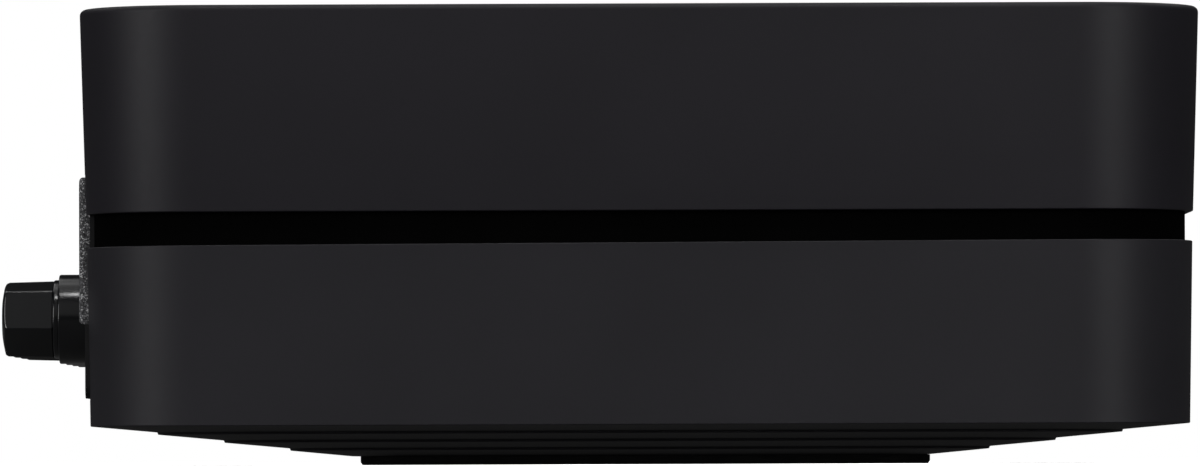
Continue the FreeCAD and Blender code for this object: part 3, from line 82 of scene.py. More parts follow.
# the touch glass, the rear panel with its screws, and the jacks
GLASS_LOW, GLASS_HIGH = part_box("touch_window")
GLASS_CORNER = 5 * MM
PANEL_LOW, PANEL_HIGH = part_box("rear_panel")
PANEL_GAP = 0.15 * MM
PANEL_STEP = 22.3 * MM
# how far in from the rear face the panel keeps its grain; further in, its side is plain black as painted
# shade
DEPTH_BEFORE_PAINTED_SHADE = 1.6 * MM
SCREW_HEAD = 2.3 * MM
JACK_BORE = 1.82 * MM
JACK_RIM = 2.4 * MM
JACK_RISE = 3.2 * MM
PHONES_LEVEL = 19.0 * MM
PHONES_HOLE = 3.15 * MM

# the terminals
POSTS = 4
COLLAR_LOW, COLLAR_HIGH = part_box("post_base_1")
COLLAR_LENGTH = 4.7 * MM
COLLAR_RADIUS = 7.05 * MM
NECK_RADIUS = 5.0 * MM
PANEL_FACE = COLLAR_HIGH.y - COLLAR_LENGTH
POST_LEVEL = (COLLAR_LOW.z + COLLAR_HIGH.z) / 2
STEM_RADIUS = 3.0 * MM
SEAT_GAP = 0.05 * MM
RUN_GAP = 0.06 * MM
RUN_BORE = STEM_RADIUS + RUN_GAP
WASHER_RADIUS = 6.2 * MM
KNOB_RADIUS = 6.3 * MM
KNOB_TAPER = math.tan(math.radians(1.3))
KNOB_TURN = math.radians(45)
KNOB_CORNER = 0.4 * MM
DOME_RADIUS = 22.4 * MM
DOME_REACH = 5.7 * MM
EDGE_SLOPE = 0.9
EDGE_ROUND = 0.3 * MM
MOUTH_CHAMFER = 0.15 * MM

# steps in a quarter of an outline's corner, and the angle from which an edge is rounded
CORNER_STEPS = 20
SHARP_EDGE = math.radians(28)

# the camera, in pixels of the picture, metres and degrees
PICTURE_WIDTH = 1200
FOCAL_PIXELS = 10326
SENSOR = 36.0
CAMERA_PLACE = (-1.71, -0.000275, 0.0006)
CAMERA_PITCH, CAMERA_YAW, CAMERA_ROLL = 1.251, 0.0025, 0.2

# the floor and the surroundings: white to the camera, dim in what they send back to the object
PLAIN_WORLD = 0.35
GLOSSY_WORLD = 0.02
FLOOR_REACH = 3.0
FLOOR_SEEN = 0.9
FLOOR_BOUNCE = 0.04
FLOOR_GLOW = 0.69
REFLECTED_GLOW = 0.08
# reach of the ambient occlusion that paints the floor's shadow
SHADE_REACH = 40 * MM

# azimuth and elevation in degrees, distance and size in metres, and power in watts
SOFTBOXES = {
    "fill": (270, 27, 2.4, (2.2, 1.6), 3),
    "rear_strip": (270 - 53, 10, 1.6, (0.54, 1.1), 13),
    "front_strip": (270 + 34, 10, 1.6, (0.4, 1.1), 11.5),
    "overhead": (270, 84, 1.4, (1.2, 1.2), 3),
    "edge_strip": (270, 64, 1.5, (0.6, 0.1), 6),
    "rear_fill": (138, 48, 2.0, (1.2, 1.0), 5),
    "front_fill": (42, 48, 2.0, (1.2, 1.0), 5),
    "far_fill": (90, 68, 2.0, (1.4, 1.0), 3),
}


# meshes

def new_object(name, data):
    """An object for a mesh, light or camera, linked to the scene."""
    thing = bpy.data.objects.new(name, data)
    bpy.context.scene.collection.objects.link(thing)
    return thing


def mesh_object(name, work):
    """An object from a bmesh, which is freed."""
    bmesh.ops.recalc_face_normals(work, faces=work.faces)
    mesh = bpy.data.meshes.new(name)
    work.to_mesh(mesh)
    work.free()
    return new_object(name, mesh)


def quarter_turn(steps):
    """Sine and cosine at even steps from 0 to 90 degrees."""
    turns = [math.radians(90) * step / steps for step in range(steps + 1)]
    return [(math.sin(turn), math.cos(turn)) for turn in turns]


def rounded_outline(inset, radius, middle=(0, MIDDLE), half=(HALF_WIDTH, HALF_DEPTH)):
    """Points of a rectangle with round corners, drawn in by inset, anticlockwise from above."""
    points = []
    reach_x, reach_y = half[0] - inset - radius, half[1] - inset - radius
    for quarter, (side, end) in enumerate(((1, 1), (-1, 1), (-1, -1), (1, -1))):
        for step in range(CORNER_STEPS + 1):
            angle = math.radians(90) * (quarter + step / CORNER_STEPS)
            points.append((middle[0] + side * reach_x + radius * math.cos(angle),
                           middle[1] + end * reach_y + radius * math.sin(angle)))
    return points


def glass_outline(inset):
    """Points of the touch glass's outline, drawn in by inset."""
    middle = ((GLASS_LOW.x + GLASS_HIGH.x) / 2, (GLASS_LOW.y + GLASS_HIGH.y) / 2)
    half = ((GLASS_HIGH.x - GLASS_LOW.x) / 2, (GLASS_HIGH.y - GLASS_LOW.y) / 2)
    return rounded_outline(inset, GLASS_CORNER - max(inset, 0), middle, half)


def at_height(outline, height):
    """An outline's points with this height, which is a number or a function of y."""
    return [(x, y, height(y) if callable(height) else height) for x, y in outline]


def bridge(work, low, high):
    """Faces between two rings of vertices of equal length."""
    count = len(low)
    for i in range(count):
        j = (i + 1) % count
        work.faces.new((low[i], low[j], high[j], high[i]))


def loft(name, rings, tube=False):
    """A closed solid through rings of equal length, with capped ends or, as a tube, with joined ends."""
    work = bmesh.new()
    made = [[work.verts.new(point) for point in points] for points in rings]
    for low, high in zip(made, made[1:]):
        bridge(work, low, high)
    if tube:
        bridge(work, made[-1], made[0])
    else:
        work.faces.new(made[0])
        work.faces.new(made[-1])
    return mesh_object(name, work)


def turned(name, outline, steps=64):
    """A solid of revolution about z, from (radius, height) pairs. Pairs on the axis close it."""
    work = bmesh.new()
    rings = []
    for radius, height in outline:
        if radius == 0:
            rings.append([work.verts.new((0, 0, height))])
        else:
            rings.append([work.verts.new((radius * math.cos(math.tau * i / steps),
                                          radius * math.sin(math.tau * i / steps), height))
                          for i in range(steps)])
    pairs = list(zip(rings, rings[1:]))
    if len(rings[0]) > 1 and len(rings[-1]) > 1:
        pairs.append((rings[-1], rings[0]))
    for low, high in pairs:
        for i in range(steps):
            j = (i + 1) % steps
            corners = [low[i % len(low)], low[j % len(low)], high[j % len(high)], high[i % len(high)]]
            unique = list(dict.fromkeys(corners))
            if len(unique) > 2:
                work.faces.new(unique)
    return mesh_object(name, work)


def block(name, low, high):
    """A box between two corners, for cutting and for small flat parts that are then bevelled."""
    work = bmesh.new()
    bmesh.ops.create_cube(work, size=1)
    low, high = Vector(low), Vector(high)
    for vertex in work.verts:
        vertex.co = (low + high) / 2 + Vector([a * b for a, b in zip(vertex.co, high - low)])
    return mesh_object(name, work)


def bent_strips(name, path, width, thickness, places):
    """Flat strips side by side, each bent along a path of (y, z) points, for contact springs."""
    work = bmesh.new()
    section = ((-1, 0), (1, 0), (1, 1), (-1, 1))
    for x in places:
        rows = [[work.verts.new((x + side * width / 2, y, z + lift * thickness)) for side, lift in section]
                for y, z in path]
        for low, high in zip(rows, rows[1:]):
            bridge(work, low, high)
        work.faces.new(rows[0])
        work.faces.new(rows[-1])
    return mesh_object(name, work)


def smooth(thing, sharp):
    """Smooth shading, apart from the edges sharper than this number of degrees."""
    for face in thing.data.polygons:
        face.use_smooth = True
    thing.data.set_sharp_from_angle(angle=math.radians(sharp))
    return thing


def settle(thing):
    """Applies the modifiers of an object."""
    bpy.context.view_layer.update()
    evaluated = thing.evaluated_get(bpy.context.evaluated_depsgraph_get())
    mesh = bpy.data.meshes.new_from_object(evaluated)
    old = thing.data
    thing.modifiers.clear()
    thing.data = mesh
    bpy.data.meshes.remove(old)


def cut(thing, cutter):
    """Cuts one solid out of another and removes the cutter."""
    modifier = thing.modifiers.new("cut", "BOOLEAN")
    modifier.operation = "DIFFERENCE"
    modifier.object = cutter
    modifier.solver = "EXACT"
    settle(thing)
    bpy.data.objects.remove(cutter)


def soften(thing, width, segments):
    """Rounds the sharp edges and smooths the rest."""
    for face in thing.data.polygons:
        face.use_smooth = True
    modifier = thing.modifiers.new("soften", "BEVEL")
    modifier.width = width
    modifier.segments = segments
    modifier.limit_method = "ANGLE"
    modifier.angle_limit = SHARP_EDGE
    modifier.harden_normals = True
    modifier.use_clamp_overlap = True
    settle(thing)


def facing_rear(thing, x, y, z):
    """Turns a piece made along +z to look along +y, with its foot at the given place."""
    thing.data.transform(Matrix.Translation((x, y, z)) @ Matrix.Rotation(math.radians(-90), 4, "X"))
    return thing


# materials

def feed(tree, socket, value):
    """Links another socket to an input, or sets the input to a number or colour."""
    if isinstance(value, bpy.types.NodeSocket):
        tree.links.new(value, socket)
    else:
        socket.default_value = value


def calculate(tree, operation, *values):
    """The result of a maths node on sockets or numbers."""
    made = tree.nodes.new("ShaderNodeMath")
    made.operation = operation
    for socket, value in zip(made.inputs, values):
        feed(tree, socket, value)
    return made.outputs["Value"]


class Finish:
    """A material with a few shorthands for its nodes. Its textures lie in the object's own space, in metres,
    so a texture's scale is in repeats per metre."""

    def __init__(self, name, colour, roughness, metallic=0.0, specular=0.5):
        self.material = bpy.data.materials.new(name)
        self.material.use_nodes = True
        self.tree = self.material.node_tree
        self.shader = self.tree.nodes["Principled BSDF"]
        self.space = self.tree.nodes.new("ShaderNodeTexCoord").outputs["Object"]
        self.relief = None
        self.set("Base Color", (*colour, 1))
        self.set("Roughness", roughness)
        self.set("Metallic", metallic)
        self.set("Specular IOR Level", specular)

    def set(self, name, value):
        """Feeds an input of the shader."""
        feed(self.tree, self.shader.inputs[name], value)

    def node(self, kind, **inputs):
        """A node with its inputs fed. An underscore in an input's name stands for a space."""
        made = self.tree.nodes.new(kind)
        for name, value in inputs.items():
            feed(self.tree, made.inputs[name.replace("_", " ")], value)
        return made

    def noise(self, scale, detail=2):
        """Cloudy values round one half."""
        made = self.node("ShaderNodeTexNoise", Vector=self.space, Scale=scale, Detail=detail)
        return made.outputs["Fac"]

    def streaks(self, across, along, detail):
        """Noise with one scale along y and another across it."""
        space = self.node("ShaderNodeMapping", Vector=self.space, Scale=(across, along, across))
        made = self.node("ShaderNodeTexNoise", Vector=space.outputs["Vector"], Scale=1, Detail=detail)
        return made.outputs["Fac"]

    def cells(self, scale):
        """The node of a cell pattern, which gives a distance and a colour."""
        return self.node("ShaderNodeTexVoronoi", Vector=self.space, Scale=scale)

    def above(self, value, level):
        """One where the value is above the level, else zero."""
        return calculate(self.tree, "GREATER_THAN", value, level)

    def times(self, first, second):
        """The product of two values."""
        return calculate(self.tree, "MULTIPLY", first, second)

    def colour(self, value, *stops):
        """A base colour that follows a value, by stops of (value, colour)."""
        made = self.node("ShaderNodeValToRGB", Fac=value)
        elements = made.color_ramp.elements
        while len(elements) < len(stops):
            elements.new(0.5)
        for element, (place, shade) in zip(elements, stops):
            element.position = place
            element.color = (*shade, 1)
        self.set("Base Color", made.outputs["Color"])

    def mottle(self, value, dark, light, low=0.3, high=0.7):
        """A base colour that goes from dark to light while the value goes from low to high."""
        self.colour(value, (low, dark), (high, light))

    def roughen(self, value, low, high):
        """A roughness that goes from low to high while the value goes from zero to one."""
        made = self.node("ShaderNodeMapRange", Value=value, To_Min=low, To_Max=high)
        self.set("Roughness", made.outputs["Result"])

    def grain(self, height, strength, depth):
        """Bumps, on top of those that the material has already."""
        made = self.node("ShaderNodeBump", Height=height, Strength=strength, Distance=depth)
        if self.relief is not None:
            feed(self.tree, made.inputs["Normal"], self.relief)
        self.relief = made.outputs["Normal"]
        self.set("Normal", self.relief)


def shades(colour, spread):
    """Two versions of a colour, a little darker and a little lighter."""
    return [tuple(channel * factor for channel in colour) for factor in (1 - spread, 1 + spread)]


def case_plastic(name, base):
    """Matte black moulding with a fine spark-eroded grain and faint unevenness."""
    finish = Finish(name, base, 0.5, specular=0.2)
    finish.mottle(finish.noise(38, detail=3), *shades(base, 0.07), low=0.32, high=0.68)
    finish.roughen(finish.noise(900, detail=3), 0.46, 0.56)
    finish.grain(finish.noise(1500), strength=0.12, depth=0.05 * MM)
    finish.grain(finish.noise(4200, detail=3), strength=0.22, depth=0.03 * MM)
    return finish.material


def frame_plastic():
    """The back wall of the slot: dull, and painted near black as painted shade, standing in for the shade of
    a slot deeper than it is.
    """
    # painted shade: a base colour far below the moulding's, for the shade deep in the slot
    base = (0.0006, 0.0006, 0.0006)
    finish = Finish("frame_plastic", base, 0.9, specular=0.02)
    finish.mottle(finish.noise(60), *shades(base, 0.2))
    finish.grain(finish.noise(3500), strength=0.2, depth=0.03 * MM)
    return finish.material


def foot_rubber():
    """Dull black rubber with a fine pitted skin and a trace of dust."""
    base = (0.0030, 0.0030, 0.0032)
    dust = (0.007, 0.007, 0.007)
    finish = Finish("foot_rubber", base, 0.75, specular=0.15)
    finish.mottle(finish.noise(700, detail=4), base, dust, low=0.45, high=0.85)
    finish.grain(finish.cells(2200).outputs["Distance"], strength=0.35, depth=0.06 * MM)
    return finish.material


def panel_grain_with_painted_glints_and_shade():
    """Rear panel: smooth black below, and a grain with painted glints (bright flecks in the base colour) on
    the outer part of the raised area, left plain black further in as painted shade.
    """
    base = (0.006, 0.006, 0.0065)
    finish = Finish("panel_grain_with_painted_glints_and_shade", base, 0.45, specular=0.3)
    place = finish.node("ShaderNodeSeparateXYZ", Vector=finish.space)
    below_step = 0.05 * MM
    # painted shade: the side of the raised area further in than the grain's depth gets neither grain nor
    # glints and stays plain black
    grain_area_outside_painted_shade = finish.times(finish.above(place.outputs["Z"], PANEL_STEP - below_step),
                        finish.above(place.outputs["Y"], REAR - DEPTH_BEFORE_PAINTED_SHADE))
    grains = finish.cells(5200)
    grey = finish.node("ShaderNodeSeparateColor", Color=grains.outputs["Color"]).outputs["Red"]
    painted_glints = finish.times(grey, grain_area_outside_painted_shade)
    # painted glints: the grain's brightest cells are painted light grey in the base colour
    finish.colour(painted_glints, (0.0, base), (0.3, (0.022, 0.022, 0.024)), (0.75, (0.075, 0.075, 0.08)),
                  (1.0, (0.50, 0.50, 0.51)))
    finish.roughen(painted_glints, 0.5, 0.3)
    finish.grain(finish.noise(2600), strength=0.2, depth=0.03 * MM)
    finish.grain(finish.times(grains.outputs["Distance"], grain_area_outside_painted_shade), strength=0.7, depth=0.1 * MM)
    return finish.material


def post_plastic():
    """Glossy black terminal plastic with a slight orange peel and faint rub marks."""
    base = (0.0030, 0.0033, 0.0040)
    finish = Finish("post_plastic", base, 0.2)
    finish.mottle(finish.noise(220), *shades(base, 0.2))
    finish.roughen(finish.noise(700, detail=3), 0.13, 0.27)
    finish.grain(finish.noise(800, detail=3), strength=0.1, depth=0.05 * MM)
    finish.grain(finish.streaks(2600, 400, detail=3), strength=0.06, depth=0.03 * MM)
    return finish.material


def nickel():
    """Turned and plated brass: bright, with faint tool rings along y."""
    finish = Finish("nickel", (0.66, 0.63, 0.57), 0.22, metallic=1.0)
    finish.roughen(finish.noise(1400, detail=3), 0.16, 0.3)
    finish.grain(finish.streaks(120, 9000, detail=1), strength=0.15, depth=0.02 * MM)
    return finish.material


def threaded_nickel():
    """The stems: plated brass with the grooves of a thread, one pitch apart along y."""
    finish = Finish("threaded_nickel", (0.66, 0.63, 0.57), 0.24, metallic=1.0)
    finish.roughen(finish.noise(1400, detail=3), 0.18, 0.32)
    pitch = 1 * MM
    wave_radians = 20  # the wave texture's angle per unit of its scaled space
    thread = finish.node("ShaderNodeTexWave", Vector=finish.space, Scale=math.tau / (wave_radians * pitch))
    thread.bands_direction = "Y"
    finish.grain(thread.outputs["Fac"], strength=0.6, depth=0.12 * MM)
    return finish.material


def steel():
    """Zinc-plated screws, slightly cloudy."""
    finish = Finish("steel", (0.42, 0.43, 0.44), 0.35, metallic=1.0)
    finish.mottle(finish.noise(500, detail=3), (0.36, 0.37, 0.38), (0.47, 0.47, 0.47))
    finish.roughen(finish.noise(900, detail=3), 0.28, 0.45)
    return finish.material


def black_steel():
    """Blackened screws with a soft sheen and paler blotches."""
    finish = Finish("black_steel", (0.018, 0.018, 0.019), 0.36, metallic=0.6)
    finish.mottle(finish.noise(800, detail=3), (0.012, 0.012, 0.013), (0.035, 0.035, 0.036), 0.35, 0.8)
    finish.roughen(finish.noise(1100), 0.3, 0.46)
    return finish.material


def sheet_metal():
    """Plated sheet of the sockets, with fine rolling marks."""
    finish = Finish("sheet_metal", (0.56, 0.56, 0.55), 0.28, metallic=1.0)
    marks = finish.streaks(300, 9000, detail=2)
    finish.roughen(marks, 0.2, 0.38)
    finish.grain(marks, strength=0.1, depth=0.02 * MM)
    return finish.material


def socket_plastic():
    """Dull black moulding of jacks and sockets."""
    base = (0.0075, 0.0075, 0.0078)
    finish = Finish("socket_plastic", base, 0.5, specular=0.35)
    finish.mottle(finish.noise(300), *shades(base, 0.18))
    finish.grain(finish.noise(2600), strength=0.25, depth=0.04 * MM)
    return finish.material


def laminate():
    """Green solder mask over copper tracks on glass-filled board."""
    base = (0.006, 0.045, 0.020)
    finish = Finish("laminate", base, 0.38, specular=0.45)
    tracks = finish.node("ShaderNodeTexBrick", Vector=finish.space, Scale=160, Color1=(*base, 1),
                         Color2=(0.007, 0.056, 0.026, 1), Mortar=(0.012, 0.085, 0.038, 1), Mortar_Size=0.035)
    finish.set("Base Color", tracks.outputs["Color"])
    finish.roughen(finish.noise(400), 0.32, 0.46)
    finish.grain(tracks.outputs["Fac"], strength=0.3, depth=0.04 * MM)
    return finish.material


def touch_glass():
    """Black-backed glass, polished, with faint smears."""
    finish = Finish("touch_glass", (0.0035, 0.0035, 0.004), 0.07)
    finish.roughen(finish.noise(26, detail=3), 0.05, 0.13)
    finish.set("Coat Weight", 0.4)
    finish.set("Coat Roughness", 0.04)
    return finish.material


def clear_plastic():
    """Clear moulding of the light guide, a little milky."""
    finish = Finish("clear_plastic", (0.8, 0.82, 0.84), 0.18)
    finish.set("Transmission Weight", 0.8)
    finish.roughen(finish.noise(300), 0.12, 0.3)
    return finish.material


def aluminium():
    """Extruded aluminium with lines along the extrusion."""
    finish = Finish("aluminium", (0.55, 0.55, 0.56), 0.36, metallic=1.0)
    lines = finish.streaks(5000, 60, detail=3)
    finish.roughen(lines, 0.28, 0.48)
    finish.grain(lines, strength=0.18, depth=0.03 * MM)
    return finish.material


def chip_plastic():
    """Moulded component packages, dark grey."""
    base = (0.014, 0.014, 0.015)
    finish = Finish("chip_plastic", base, 0.6, specular=0.3)
    finish.mottle(finish.noise(500, detail=3), *shades(base, 0.2))
    finish.grain(finish.noise(5000), strength=0.3, depth=0.03 * MM)
    return finish.material


def film_plastic():
    """Red dipped film capacitors."""
    finish = Finish("film_plastic", (0.30, 0.045, 0.03), 0.3)
    finish.mottle(finish.noise(350), (0.26, 0.038, 0.026), (0.34, 0.055, 0.034))
    finish.grain(finish.noise(700), strength=0.2, depth=0.1 * MM)
    return finish.material


def can_sleeve():
    """Dark shrink sleeve of the can capacitors."""
    finish = Finish("can_sleeve", (0.012, 0.016, 0.028), 0.3)
    finish.mottle(finish.noise(120), (0.010, 0.014, 0.024), (0.015, 0.019, 0.033))
    finish.roughen(finish.noise(500), 0.24, 0.4)
    return finish.material


def ferrite():
    """Sintered ferrite, dull with fine pits."""
    finish = Finish("ferrite", (0.030, 0.028, 0.026), 0.65, specular=0.35)
    finish.mottle(finish.noise(900, detail=4), (0.024, 0.022, 0.021), (0.040, 0.037, 0.034), high=0.75)
    finish.grain(finish.cells(1800).outputs["Distance"], strength=0.3, depth=0.06 * MM)
    return finish.material


def fuse_glass():
    """Glass tube of the fuse."""
    finish = Finish("fuse_glass", (0.85, 0.87, 0.88), 0.06)
    finish.set("Transmission Weight", 0.85)
    finish.roughen(finish.noise(200), 0.04, 0.1)
    return finish.material


MATERIALS = {
    "case_plastic": case_plastic("case_plastic", (0.0098, 0.0090, 0.0118)),
    "frame_plastic": frame_plastic(), "foot_rubber": foot_rubber(),
    "panel_plastic": panel_grain_with_painted_glints_and_shade(), "post_plastic": post_plastic(), "nickel": nickel(), "steel": steel(),
    "black_steel": black_steel(), "sheet_metal": sheet_metal(), "socket_plastic": socket_plastic(),
    "laminate": laminate(), "touch_glass": touch_glass(), "clear_plastic": clear_plastic(),
    "aluminium": aluminium(), "chip_plastic": chip_plastic(), "film_plastic": film_plastic(),
    "can_sleeve": can_sleeve(), "ferrite": ferrite(), "fuse_glass": fuse_glass(),
}
BASE_PLASTIC = case_plastic("base_plastic", (0.0140, 0.0134, 0.0162))
THREAD = threaded_nickel()


def dress(thing, material):
    """Gives a piece this material in place of any other."""
    thing.data.materials.clear()
    thing.data.materials.append(material)


def dress_nodes():
    """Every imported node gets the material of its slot, and the stems get their thread."""
    for row in frame["record"]["subparts"]:
        dress(NODES[row["node"]], MATERIALS[row["material_slot"]])
    for number in range(1, POSTS + 1):
        dress(NODES[f"post_stem_{number}"], THREAD)


def put(thing, body, slot, *nodes, material=None):
    """Gives a piece its body and the material of its slot or another, and hides the nodes it stands for."""
    dress(thing, material or MATERIALS[slot])
    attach(thing, body)
    if nodes:
        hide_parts(*nodes)


def put_fine(thing, slot, width, *nodes):
    """A small fixed piece, with its edges just broken."""
    soften(thing, width, segments=2)
    put(thing, "root", slot, *nodes)


# case shells

def ring(inset, height, radius=None):
    """One ring of a shell. The round of its corners shrinks with the inset, or is given."""
    return at_height(rounded_outline(inset, CORNER - inset if radius is None else radius), height)


def rear_opening(low, high):
    """The cutter of the rear panel's opening, from within the wall to outside it."""
    half = PANEL_HIGH.x + PANEL_GAP
    within, outside = 5 * MM, 3 * MM
    return block("cutter", (-half, REAR - within, low), (half, REAR + outside, high))


def phones_opening():
    """The cutter of the round hole for the headphone jack, through the front wall."""
    low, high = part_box("headphone_jack")
    outside, length = 2 * MM, 8 * MM
    hole = turned("cutter", [(0, 0), (PHONES_HOLE, 0), (PHONES_HOLE, length), (0, length)])
    return facing_rear(hole, (low.x + high.x) / 2, FRONT - outside, PHONES_LEVEL)


def glass_opening():
    """The cutter of the touch glass's recess, down to the ledge that the glass lies on."""
    outline = glass_outline(-PANEL_GAP)
    return loft("cutter", [at_height(outline, GLASS_LOW.z), at_height(outline, TOP + MM)])


def cover_shell():
    """Upper shell: drafted walls, a rounded rim and the recess of the touch glass."""
    cavity = COVER_INSET + WALL
    rings = [ring(cavity, TOP - WALL), ring(cavity, SLOT_TOP), ring(COVER_INSET, SLOT_TOP),
             ring(RIM * COVER_DRAFT, TOP - RIM)]
    for sine, cosine in quarter_turn(steps=6)[1:]:
        inset = RIM * (1 - cosine) + RIM * COVER_DRAFT * (1 - sine)
        rings.append(ring(inset, TOP - RIM * (1 - sine)))
    shell = loft("cover_shell", rings)
    cut(shell, rear_opening(SLOT_TOP - MM, PANEL_HIGH.z + PANEL_GAP))
    cut(shell, glass_opening())
    soften(shell, LIP_ROUND, segments=3)
    put(shell, "root", "case_plastic", "top_cover")


def slot_edge(y):
    """Height of the slot's lower edge, which falls to the rear."""
    return SLOT_LOW - SLOT_FALL * (y - FRONT) / (REAR - FRONT)


def base_shell():
    """Bottom case: drafted walls, then the sloping terraces down to the flat middle."""
    cavity = EDGE_INSET + WALL
    rings = [ring(cavity, BASE_EDGE + WALL), ring(cavity, slot_edge), ring(BASE_INSET, slot_edge),
             ring(EDGE_INSET, BASE_EDGE)]
    inset, radius, height = EDGE_INSET, CORNER - EDGE_INSET, BASE_EDGE
    for terrace in range(TERRACES):
        last = terrace == TERRACES - 1
        inset += LAST_BAND if last else BAND_WIDTH
        radius -= RING_SHRINK
        height -= BAND_DROP
        rings.append(ring(inset, height, radius))
        if not last:
            height -= BAND_STEP
            rings.append(ring(inset, height, radius))
    shell = loft("base_shell", rings)
    cut(shell, rear_opening(PANEL_LOW.z - PANEL_GAP, SLOT_LOW + MM))
    cut(shell, phones_opening())
    soften(shell, LIP_ROUND, segments=3)
    put(shell, "root", "case_plastic", "bottom_case", material=BASE_PLASTIC)


# terminals

def hexagon_reach(angle, radius):
    """Distance from the axis to a hexagon with round corners, at an angle from one of its corners."""
    sixth, half = math.radians(60), math.radians(30)
    away = abs((angle + half) % sixth - half)
    centre = radius - KNOB_CORNER / math.sin(sixth)
    if away < math.atan2(KNOB_CORNER * math.sin(half), centre + KNOB_CORNER * math.cos(half)):
        across = centre * math.sin(away)
        return centre * math.cos(away) + math.sqrt(KNOB_CORNER * KNOB_CORNER - across * across)
    return radius * math.cos(half) / math.cos(half - away)


def knob_angles():
    """Angles round a knob, close together at the corners of its hexagon."""
    from_corner = (-4, -2.7, -1.3, 0, 1.3, 2.7, 4, 8, 16, 24, 30, 36, 44, 52)
    return [math.radians(60) * sixth + math.radians(angle) for sixth in range(6) for angle in from_corner]


def knob(number, x):
    """Six-sided tapered knob with soft edges, a shallow dome and the plug's bore."""
    low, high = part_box(f"post_knob_{number}")
    length = high.y - low.y
    crown = length + RUN_BORE * RUN_BORE / (2 * DOME_RADIUS)
    tip = KNOB_RADIUS - length * KNOB_TAPER
    angles = knob_angles()

    def end_height(reach):
        """The outer end: a dome, then a steeper band out to the edges."""
        inside = min(reach, DOME_REACH)
        return crown - inside * inside / (2 * DOME_RADIUS) - (reach - inside) * EDGE_SLOPE

    def hexagon(radius):
        """Distance from the axis at each of the angles."""
        return [hexagon_reach(angle, radius) for angle in angles]

    def knob_ring(reaches, height):
        """Points at these distances. The height is a number, or a function of the distance."""
        return [(reach * math.cos(angle + KNOB_TURN), reach * math.sin(angle + KNOB_TURN),
                 height(reach) if callable(height) else height) for angle, reach in zip(angles, reaches)]

    foot_inset = EDGE_ROUND / 2
    rings = [knob_ring(hexagon(KNOB_RADIUS - foot_inset), 0), knob_ring(hexagon(KNOB_RADIUS), foot_inset)]
    for sine, cosine in quarter_turn(steps=5):
        inset, drop = EDGE_ROUND * (1 - cosine), EDGE_ROUND * (1 - sine)
        rings.append(knob_ring(hexagon(tip - inset), lambda reach: end_height(reach) - drop))
    ways_inward = (0.25, 0.5, 0.75, 0.93)
    for way in ways_inward:
        reaches = [outer + (RUN_BORE - outer) * way for outer in hexagon(tip - EDGE_ROUND)]
        rings.append(knob_ring(reaches, end_height))
    mouth = [RUN_BORE] * len(angles)
    rings += [knob_ring(mouth, end_height(RUN_BORE) - MOUTH_CHAMFER), knob_ring(mouth, 0)]
    piece = smooth(loft(f"knob_{number}_shell", rings, tube=True), sharp=40)
    facing_rear(piece, x, low.y, POST_LEVEL)
    put(piece, f"knob_{number}", "post_plastic", f"post_knob_{number}")


def round_disc(name, bore, radius, height, corner, foot=()):
    """A turned disc with a rounded outer edge, on the foot's (radius, height) pairs where it has one."""
    chamfer = 0.1 * MM
    outline = [(bore, foot[0][1] if foot else 0), *foot, (radius - chamfer, 0), (radius, chamfer)]
    outline += [(radius - corner + corner * cosine, height - corner + corner * sine)
                for sine, cosine in quarter_turn(steps=6)]
    outline.append((bore, height))
    return smooth(turned(name, outline, steps=96), sharp=32)


def washer(number, x):
    """Round shoulder under the knob, which presses the wire."""
    low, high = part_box(f"clamp_washer_{number}")
    piece = round_disc(f"washer_{number}_shell", RUN_BORE, WASHER_RADIUS, high.y - low.y, 0.3 * MM)
    facing_rear(piece, x, low.y, POST_LEVEL)
    put(piece, f"clamp_{number}", "post_plastic", f"clamp_washer_{number}")


def collar(number, x):
    """Insulating collar with a rounded outer edge and its neck through the panel."""
    low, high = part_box(f"post_base_{number}")
    neck = ((NECK_RADIUS, low.y - PANEL_FACE), (NECK_RADIUS, 0))
    piece = round_disc(f"collar_{number}_shell", STEM_RADIUS + SEAT_GAP, COLLAR_RADIUS, high.y - PANEL_FACE,
                       0.25 * MM, neck)
    facing_rear(piece, x, PANEL_FACE, POST_LEVEL)
    put(piece, "root", "post_plastic", f"post_base_{number}")


def terminals():
    """Knob, washer and collar of each terminal, on one axis."""
    for number in range(1, POSTS + 1):
        low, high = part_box(f"post_base_{number}")
        x = (low.x + high.x) / 2
        knob(number, x)
        washer(number, x)
        collar(number, x)


# sockets, screws and glass

def side_by_side(middle, pitch, count):
    """Places of a row of contacts, round its middle."""
    return [middle + (number - (count - 1) / 2) * pitch for number in range(count)]


def flat_socket(node, width_share, level_share, rise_share, contacts):
    """Dark cover of a flat socket's tongue, and the contact strips on its free side. The shares are those of
    the tongue in the socket's width and height."""
    low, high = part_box(node)
    width, rise = high.x - low.x, high.z - low.z
    middle = (low.x + high.x) / 2
    skin, front_inset, back_inset = 0.08 * MM, 0.92 * MM, 1.05 * MM
    half = width_share * width / 2 + skin
    bottom = low.z + rise * (level_share - rise_share / 2) - skin
    top = low.z + rise * (level_share + rise_share / 2) + skin
    front, back = high.y - front_inset, low.y + back_inset
    cover = block(f"{node}_tongue", (middle - half, back, bottom), (middle + half, front, top))
    put_fine(cover, "socket_plastic", 0.15 * MM)
    row_share, strip_share, thickness = 0.9, 0.5, 0.08 * MM
    pitch = row_share * 2 * half / contacts
    level = bottom - thickness / 2
    bend, tip, sunk = 0.5 * MM, 0.2 * MM, 0.02 * MM
    path = [(back, level), (front - bend, level), (front - tip, bottom + sunk)]
    places = side_by_side(middle, pitch, contacts)
    strips = bent_strips(f"{node}_contacts", path, pitch * strip_share, thickness, places)
    put_fine(strips, "nickel", 0.01 * MM)


